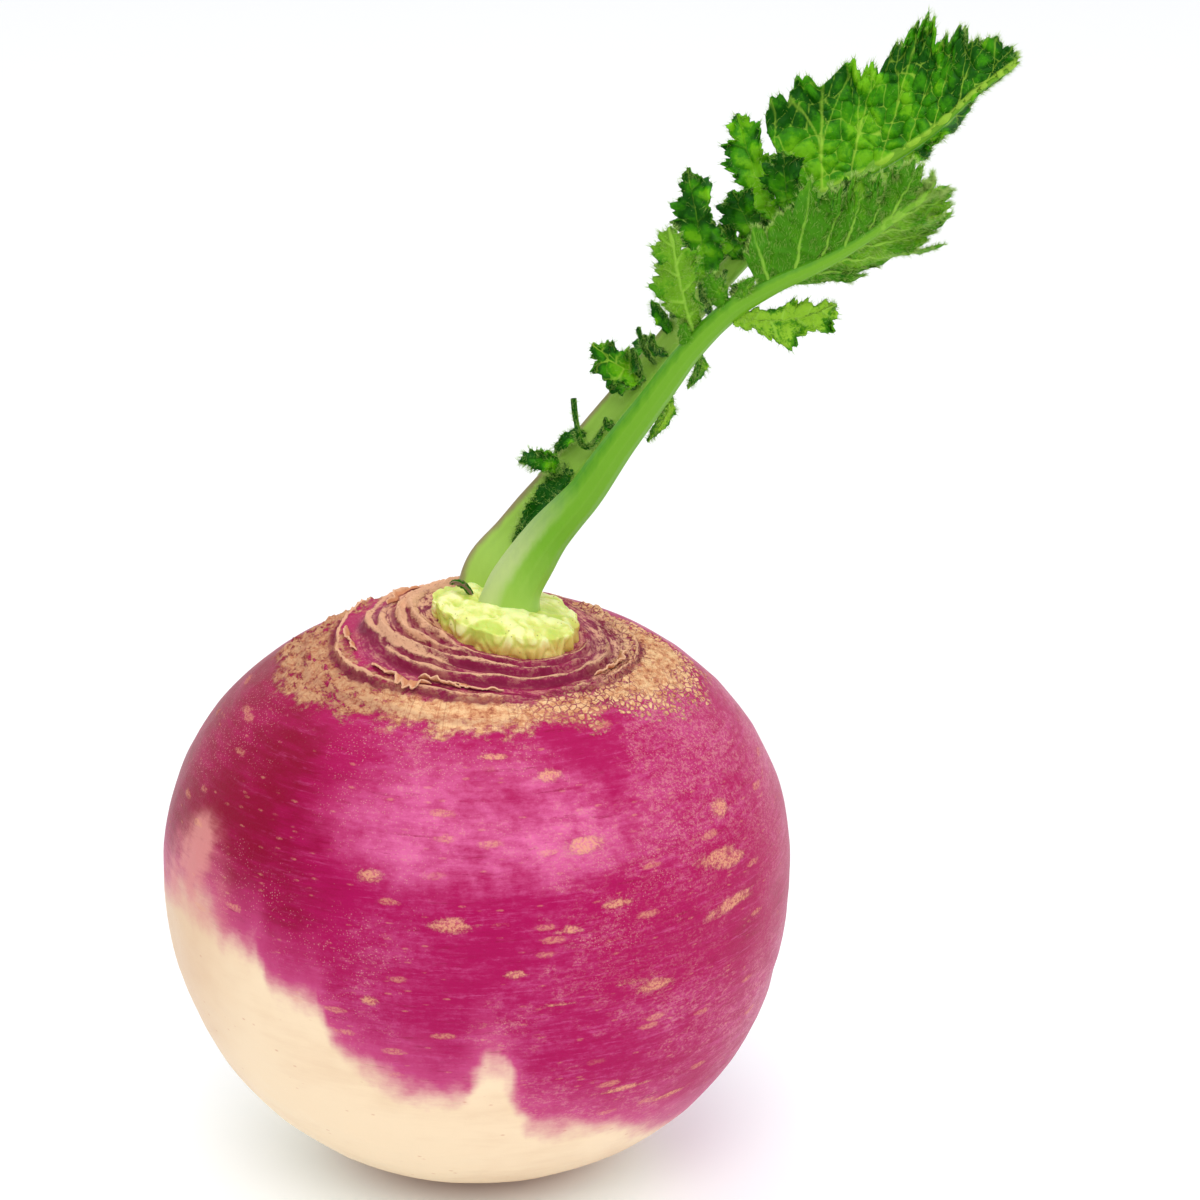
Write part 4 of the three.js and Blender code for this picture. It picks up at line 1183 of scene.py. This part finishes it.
def leaf_pieces(name, leaf, hair_seed, density, edge_share, hair_length):
    """The pieces of one leaf: its stalk, its end blade, its side lobes and its hairs."""
    path = curve_through(leaf["path"])
    begin = leaf["from"]
    end_blade, surface = blade_part(
        lambda along: path(mix(begin, 1, along)), leaf["blade"], leaf["face"], leaf["tone"]
    )
    lobes, surfaces = [], [surface]
    for number, own in enumerate(leaf["lobes"]):
        tone = own.get("tone", 0.1 + 0.5 * hashed(np.array([number, 3]), 5))
        spine = arc_through(own["at"], own["bend"], own["tip"])
        part, surface = blade_part(spine, own, own.get("face", leaf["face"]), tone)
        lobes.append(part)
        surfaces.append(surface)
    random = np.random.default_rng(hair_seed)
    hairs = hair_part(*blade_hairs(random, surfaces, density, edge_share, hair_length))
    parts = {"stalk": [stalk_part(leaf)], "blade": [end_blade], "lobes": lobes, "hairs": [hairs]}
    return {part: new_piece(f"{name}_{part}", *joined(group)) for part, group in parts.items()}


def leaf_finish(name, greens, veins, back, gloss, rough_share, net_share=1.0, end_shade=0.0):
    """A blade: mottled in three greens from deep to light, with painted shade in the hollows
    of its crimped margin and painted light on its domes, with pale veins and another green on
    its back. end_shade is how much it darkens towards its end."""
    deep, middle, light = greens
    leaf = Finish(name, Specular_IOR_Level=0.1)
    vein, rib, margin, dome, lift, face, tone, along = (
        leaf.mark(mark) for mark in ("vein", "rib", "margin", "dome", "lift", "face", "tone", "along")
    )
    patch = leaf.noise(leaf.mm(0.22, 0.22, 0.22), 4, 0.6)
    grain = leaf.noise(leaf.mm(1.8, 1.8, 1.8), 4, 0.7)
    # Painted shade and light: lift darkens the hollows of the crimped margin and lightens its crests, and
    # dome lightens the puckered cells.
    shade = patch + (grain - 0.5) * rough_share + (tone - 0.5) * 0.3 + lift * 0.5
    shade = shade + (dome - 0.6) * 0.1 - along.step(0.35, 0.8) * end_shade
    colour = leaf.blend(deep, middle, shade.step(0.2, 0.46))
    colour = leaf.blend(colour, light, (shade - margin * 0.06).step(0.4, 0.6))
    colour = leaf.blend(back, colour, face * 0.6 + 0.4)
    pale = rib.most(vein * net_share) * (1 - margin * 0.4)
    colour = leaf.blend(colour, veins, pale.step(0.2, 0.8) * 0.68)
    normal = leaf.bump(grain + vein * 0.5, 0.16, 0.5)
    return leaf.feed(Base_Color=colour, Roughness=grain * 0.25 + gloss, Normal=normal)


def stalk_finish(name, look, tint, tint_share, tint_side, tint_end, groove_share):
    """A stalk: fresh green with painted shade on both sides, pale at its foot and in its
    groove, and faintly ribbed. One edge is tinted up to tint_end of its length, +1 for its
    left edge and -1 for its right, and the other has a painted highlight in the pale foot
    colour along its lower part."""
    stalk = Finish(name, Specular_IOR_Level=0.25)
    pale = look.stalk_foot_and_highlight
    along, groove, rib, side = (stalk.mark(mark) for mark in ("along", "groove", "rib", "side"))
    grain = stalk.noise(stalk.mm(0.8, 0.8, 0.3), 4, 0.6)
    # Painted shade: both sides of a stalk turn a darker green.
    shaded_sides = (side.size() * 0.8 + (grain - 0.5) * 0.5).step(0.45, 0.95)
    colour = stalk.blend(look.stalk, look.stalk_side_shade, shaded_sides)
    colour = stalk.blend(colour, pale, (along + (grain - 0.5) * 0.05).step(0.2, 0.02) * 0.6)
    colour = stalk.blend(colour, pale, rib.step(0.75, 1.0) * 0.05)
    colour = stalk.blend(colour, pale, groove * along.step(0.68, 0.5) * groove_share)
    rim = (side * tint_side + (grain - 0.5) * 0.3).step(0.45, 0.85)
    colour = stalk.blend(colour, tint, rim * along.step(tint_end, tint_end * 0.4) * tint_share)
    # Painted highlight: a pale streak along the lower part of the edge facing away from the tint.
    far_edge_highlight = (side * tint_side * -1 + (grain - 0.5) * 0.2).step(0.7, 1.0)
    colour = stalk.blend(colour, pale, far_edge_highlight * along.step(0.7, 0.4) * 0.75)
    normal = stalk.bump(grain + rib * 0.5, 0.15, 0.4)
    return stalk.feed(Base_Color=colour, Roughness=grain * 0.15 + 0.33, Normal=normal)


def hair_finish(name, colour, tip):
    """Bristles: green at the root and nearly white at the tip."""
    hair = Finish(name, Roughness=0.4)
    return hair.feed(Base_Color=hair.blend(colour, tip, hair.mark("tip")))


# Settings that a user would change


def colour_property(name, description, default):
    """A colour setting, from its screen values."""
    limits = {"size": 3, "min": 0, "max": 1, "default": linear(*default)}
    return FloatVectorProperty(name=name, description=description, subtype="COLOR", **limits)


def number_property(name, description, default, **kind):
    """A number setting."""
    return FloatProperty(name=name, description=description, default=default, **kind)


def place_property(name, description, default):
    """A place in the frame, in metres."""
    kind = {"subtype": "XYZ", "unit": "LENGTH"}
    return FloatVectorProperty(name=name, description=description, default=default, **kind)


class RootLook(bpy.types.PropertyGroup):
    """Colours of the root and the crown."""

    # Crimson also serves as the painted shade on the skin's upper left.
    crimson: colour_property("Crimson", "Deepest purple of the skin", (138, 0, 46))
    magenta: colour_property("Magenta", "Main purple of the skin", (169, 10, 84))
    rose: colour_property("Rose", "Lighter purple of the skin", (196, 73, 131))
    # Painted highlight on the skin's upper front, not a colour of the skin itself.
    painted_highlight: colour_property("Highlight", "Lightest, mauve part of the skin", (226, 108, 164))
    blush: colour_property("Blush", "Pink where purple fades out", (208, 84, 138))
    faded: colour_property("Faded", "Patch where the purple has faded", (222, 146, 140))
    satin: colour_property("Satin", "Smooth bands between the scars", (156, 34, 86))
    cream: colour_property("Cream", "Skin below the purple", (247, 222, 188))
    # Cream shade also serves as the painted shade on the cream's left side.
    cream_shade: colour_property("Cream shade", "Darker clouds in the cream", (226, 190, 154))
    lens: colour_property("Lens marks", "Pale raised marks on the skin", (228, 166, 128))
    frost: colour_property("Frost", "Fine pale dots on the skin", (214, 144, 144))
    cork: colour_property("Cork", "Main tan of the shoulder", (208, 142, 102))
    cork_pale: colour_property("Pale cork", "Lightest tan of the shoulder", (240, 198, 150))
    cork_dark: colour_property("Dark cork", "Cracks in the cork", (146, 72, 58))
    lip: colour_property("Lips", "Edges of the old leaf scars", (228, 178, 142))
    groove: colour_property("Grooves", "Bands between the scars", (124, 22, 58))
    crown: colour_property("Crown", "Flesh of the crown", (218, 222, 112))
    crown_pale: colour_property("Pale crown", "Lumps of the crown", (238, 242, 164))
    # Painted shade in the hollows of the crown.
    crown_hollow_shade: colour_property("Green crown", "Hollows of the crown", (182, 206, 74))
    crown_ochre: colour_property("Ochre crown", "Lower rim of the crown", (214, 184, 92))
    crown_speck: colour_property("Crown specks", "Dark crumbs on the crown's rim", (122, 104, 48))


class LeafLook(bpy.types.PropertyGroup):
    """Colours of the leaves and their hairs, and the hairs' size and number."""

    deep: colour_property("Deep green", "Hollows of the rear leaf", (20, 84, 4))
    middle: colour_property("Leaf green", "Main green of the rear leaf", (60, 142, 2))
    light: colour_property("Light green", "Lightest green of the rear leaf", (112, 184, 18))
    vein: colour_property("Veins", "Net of veins", (176, 220, 72))
    back_deep: colour_property("Deep back", "Hollows of the front leaf's back", (38, 106, 8))
    back_middle: colour_property("Back", "Main green of the front leaf's back", (76, 142, 12))
    back_light: colour_property("Light back", "Lightest green of its back", (140, 190, 46))
    back_vein: colour_property("Back veins", "Ribs of the front leaf's back", (150, 200, 70))
    stalk: colour_property("Stalk", "Main green of the stalks", (108, 166, 26))
    # Painted shade on the sides of the stalks.
    stalk_side_shade: colour_property("Stalk edge", "Sides of the stalks", (66, 138, 18))
    # Stalk foot also serves as the painted highlight on a stalk's far edge.
    stalk_foot_and_highlight: colour_property("Stalk foot", "Pale foot of the stalks", (176, 208, 96))
    stalk_pale: colour_property("Pale stalk", "Whitish side of the front stalk's foot", (212, 218, 160))
    stalk_tint: colour_property("Stalk tint", "Purple-brown edge of the stalks", (140, 110, 92))
    hair: colour_property("Hair", "Root of a bristle", (126, 182, 44))
    hair_tip: colour_property("Hair tip", "Tip of a bristle", (192, 222, 118))
    hair_length: number_property(
        "Hair length", "Middle length of a bristle", 0.001, subtype="DISTANCE", unit="LENGTH"
    )
    hair_density: number_property("Hair density", "How thickly the blades are haired", 9.0)
    hair_seed: IntProperty(name="Hair seed", description="Seed of the bristles' places", default=11)


class StageLook(bpy.types.PropertyGroup):
    """Camera, lights and floor."""

    camera_place: place_property("Camera", "Where the camera stands", (0.019427, -0.501496, 0.255194))
    camera_target: place_property("Target", "What it looks at", (0.019427, 0.013827, 0.087755))
    lens: number_property("Lens", "Focal length on a 36 mm wide sensor", 102.08)
    key_power: number_property("Key light", "Power of the main light", 2.0, unit="POWER")
    fill_power: number_property("Fill light", "Power of the side light", 0.8, unit="POWER")
    top_power: number_property("Top light", "Power of the overhead light", 30.0, unit="POWER")
    sky: number_property("Sky", "Strength of the even white light", 0.68)
    floor: colour_property("Floor", "Floor colour", (244, 243, 245))
    # A painted shadow: the floor's colour right under the root.
    painted_floor_shadow: colour_property("Floor tint", "Floor colour right under the root", (243, 228, 229))
    # Painted light: the glow of the floor round the root, though it is no lamp, and its strength.
    painted_floor_glow_colour: colour_property("Floor light", "Glow of the floor round the root", (196, 238, 246))
    painted_floor_glow_strength: number_property("Floor glow", "Strength of that glow", 0.2)


class PieceOperator:
    """What all the piece operators share."""

    bl_options = {"REGISTER", "UNDO"}

    @staticmethod
    def dress(piece, material, slot, *nodes):
        """Give a piece its finish, and let it ride in place of solids. slot is not used."""
        piece.data.materials.append(material)
        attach(piece, "root")
        if nodes:
            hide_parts(*nodes)


class TURNIP_OT_globe(PieceOperator, bpy.types.Operator):
    """Make the swollen root with its skin, corky shoulder and leaf scars"""

    bl_idname = "turnip.globe"
    bl_label = "Root"

    def execute(self, context):
        look = context.scene.turnip_root
        self.dress(globe_mesh(), skin_finish(look), "skin", "globe")
        flakes = [flake_part(number, *flake) for number, flake in enumerate(FLAKES)]
        self.dress(new_piece("turnip_flakes", *joined(flakes)), flake_finish(look), "skin")
        return {"FINISHED"}


class TURNIP_OT_crown(PieceOperator, bpy.types.Operator):
    """Make the pale crown that the leaves grow from"""

    bl_idname = "turnip.crown"
    bl_label = "Crown"

    def execute(self, context):
        self.dress(crown_mesh(), crown_finish(context.scene.turnip_root), "crown", "crown")
        return {"FINISHED"}


class LeafOperator(PieceOperator):
    """What the two leaf operators share."""

    def make(self, name, leaf, slot, green, stalk, hair_seed, density, edge_share):
        """Make and dress a leaf's pieces. edge_share is the hairs' share on its margins."""
        look = bpy.context.scene.turnip_leaf
        made = leaf_pieces(name, leaf, hair_seed, density, edge_share, look.hair_length / MM)
        for part, finish in (("stalk", stalk), ("blade", green), ("lobes", green)):
            self.dress(made[part], finish, slot, f"leaf_{name}")
        self.dress(made["hairs"], hair_finish(f"{name}_hairs", look.hair, look.hair_tip), slot)


class TURNIP_OT_front_leaf(LeafOperator, bpy.types.Operator):
    """Make the front leaf, whose back is turned to the front"""

    bl_idname = "turnip.front_leaf"
    bl_label = "Front leaf"

    def execute(self, context):
        look = context.scene.turnip_leaf
        greens = (look.back_deep, look.back_middle, look.back_light)
        green = leaf_finish("front_leaf", greens, look.back_vein, look.back_middle, 0.38, 1.1, 0.4)
        stalk = stalk_finish("front_stalk", look, look.stalk_pale, 0.5, -1, 0.3, 0.1)
        density = look.hair_density * 1.6
        self.make("front", FRONT_LEAF, "leaf_pale", green, stalk, look.hair_seed, density, 0.4)
        return {"FINISHED"}


class TURNIP_OT_rear_leaf(LeafOperator, bpy.types.Operator):
    """Make the rear leaf, whose face is turned to the front"""

    bl_idname = "turnip.rear_leaf"
    bl_label = "Rear leaf"

    def execute(self, context):
        look = context.scene.turnip_leaf
        greens = (look.deep, look.middle, look.light)
        green = leaf_finish("rear_leaf", greens, look.vein, look.back_middle, 0.3, 0.35, 1.0, 0.22)
        stalk = stalk_finish("rear_stalk", look, look.stalk_tint, 0.8, 1, 0.7, 0.45)
        seed = look.hair_seed + 1
        self.make("rear", REAR_LEAF, "leaf_deep", green, stalk, seed, look.hair_density, 0.8)
        return {"FINISHED"}


class TURNIP_OT_bud(PieceOperator, bpy.types.Operator):
    """Make the shrivelled bud at the crown's edge"""

    bl_idname = "turnip.bud"
    bl_label = "Bud"

    def execute(self, context):
        look = context.scene.turnip_leaf
        blade = tiny_lobe(*BUD_SPINE, 0.8)
        part, _ = blade_part(arc_through(*BUD_SPINE), blade, BUD_FACE, 1.2)
        greens = (look.deep, look.back_deep, look.stalk_tint)
        finish = leaf_finish("bud", greens, look.stalk_tint, look.back_deep, 0.45, 0.8)
        self.dress(new_piece("turnip_bud", *joined([part])), finish, "bud", "bud")
        return {"FINISHED"}


class TURNIP_OT_stage(bpy.types.Operator):
    """Set the pale floor with painted shadow and painted light round the root, the soft lights and the
    camera
    """

    bl_idname = "turnip.stage"
    bl_label = "Stage"

    @staticmethod
    def area_light(name, place, target, size, power, colour):
        """A round soft light that points at a target."""
        data = bpy.data.lights.new(name, "AREA")
        data.shape = "DISK"
        data.size = size
        data.energy = power
        data.color = colour
        light = bpy.data.objects.new(name, data)
        light.location = place
        light.rotation_euler = (Vector(target) - Vector(place)).to_track_quat("-Z", "Y").to_euler()
        bpy.context.scene.collection.objects.link(light)

    def execute(self, context):
        look = context.scene.turnip_stage
        scene = context.scene
        radius, around = 4000.0, 64
        turn = np.arange(around) * TAU / around
        rim = vector(np.cos(turn) * radius, np.sin(turn) * radius, -0.02)
        ground = new_piece("floor", rim, [np.arange(around)[None, :]], {})
        floor = Finish("floor", Roughness=0.6)
        under = floor.mm(1, 1, 0)
        away = (floor.axis(under, "X") ** 2 + floor.axis(under, "Y") ** 2).root()
        # Painted light: round the root the floor glows to lift the shadow there, though it is no lamp.
        glow = away.step(14, 29) * away.step(150, 80, 0.3, 1.0)
        floor.feed(
            # Painted shadow: the floor takes a darker tint right under the root.
            Base_Color=floor.blend(look.painted_floor_shadow, look.floor, away.step(16, 32)),
            Emission_Color=floor.blend((0, 0, 0), look.painted_floor_glow_colour, glow),
        )
        floor.shader.inputs["Emission Strength"].default_value = look.painted_floor_glow_strength
        ground.data.materials.append(floor.material)

        world = bpy.data.worlds.new("studio")
        world.use_nodes = True
        world.node_tree.nodes["Background"].inputs["Color"].default_value = (1, 1, 1, 1)
        world.node_tree.nodes["Background"].inputs["Strength"].default_value = look.sky
        scene.world = world
        middle = (0.0, 0.0, 0.06)
        self.area_light("top", (0, 0.6, 2.0), (0, 0.6, 0), 3.6, look.top_power, (1, 1, 1))
        self.area_light("key", (0.02, -0.6, 0.75), middle, 0.45, look.key_power, (1, 0.98, 0.97))
        self.area_light("fill", (0.7, -0.25, 0.35), middle, 0.5, look.fill_power, (0.96, 0.98, 1))

        data = bpy.data.cameras.new("camera")
        data.sensor_width = 36
        data.lens = look.lens
        data.clip_start, data.clip_end = 0.05, 20
        camera = bpy.data.objects.new("camera", data)
        camera.location = look.camera_place
        way = Vector(look.camera_target) - Vector(look.camera_place)
        camera.rotation_euler = way.to_track_quat("-Z", "Y").to_euler()
        scene.collection.objects.link(camera)
        scene.camera = camera
        scene.view_settings.view_transform = "Standard"
        return {"FINISHED"}


class TURNIP_PT_panel(bpy.types.Panel):
    """Lists the turnip's operators and settings"""

    bl_idname = "TURNIP_PT_panel"
    bl_label = "Turnip"
    bl_space_type = "VIEW_3D"
    bl_region_type = "UI"
    bl_category = "Turnip"

    def draw(self, context):
        for operator in OPERATORS:
            self.layout.operator(operator.bl_idname)
        for group in (context.scene.turnip_root, context.scene.turnip_leaf, context.scene.turnip_stage):
            box = self.layout.box()
            for name in group.bl_rna.properties.keys():
                if name not in {"rna_type", "name"}:
                    box.prop(group, name)


OPERATORS = (
    TURNIP_OT_stage,
    TURNIP_OT_globe,
    TURNIP_OT_crown,
    TURNIP_OT_front_leaf,
    TURNIP_OT_rear_leaf,
    TURNIP_OT_bud,
)
CLASSES = (RootLook, LeafLook, StageLook, *OPERATORS, TURNIP_PT_panel)


def register():
    for item in CLASSES:
        bpy.utils.register_class(item)
    bpy.types.Scene.turnip_root = PointerProperty(type=RootLook)
    bpy.types.Scene.turnip_leaf = PointerProperty(type=LeafLook)
    bpy.types.Scene.turnip_stage = PointerProperty(type=StageLook)


def unregister():
    del bpy.types.Scene.turnip_stage
    del bpy.types.Scene.turnip_leaf
    del bpy.types.Scene.turnip_root
    for item in reversed(CLASSES):
        bpy.utils.unregister_class(item)


def main():
    """Make every piece in turn."""
    register()
    bpy.ops.turnip.stage()
    bpy.ops.turnip.globe()
    bpy.ops.turnip.crown()
    bpy.ops.turnip.front_leaf()
    bpy.ops.turnip.rear_leaf()
    bpy.ops.turnip.bud()


if __name__ == "__main__":
    main()
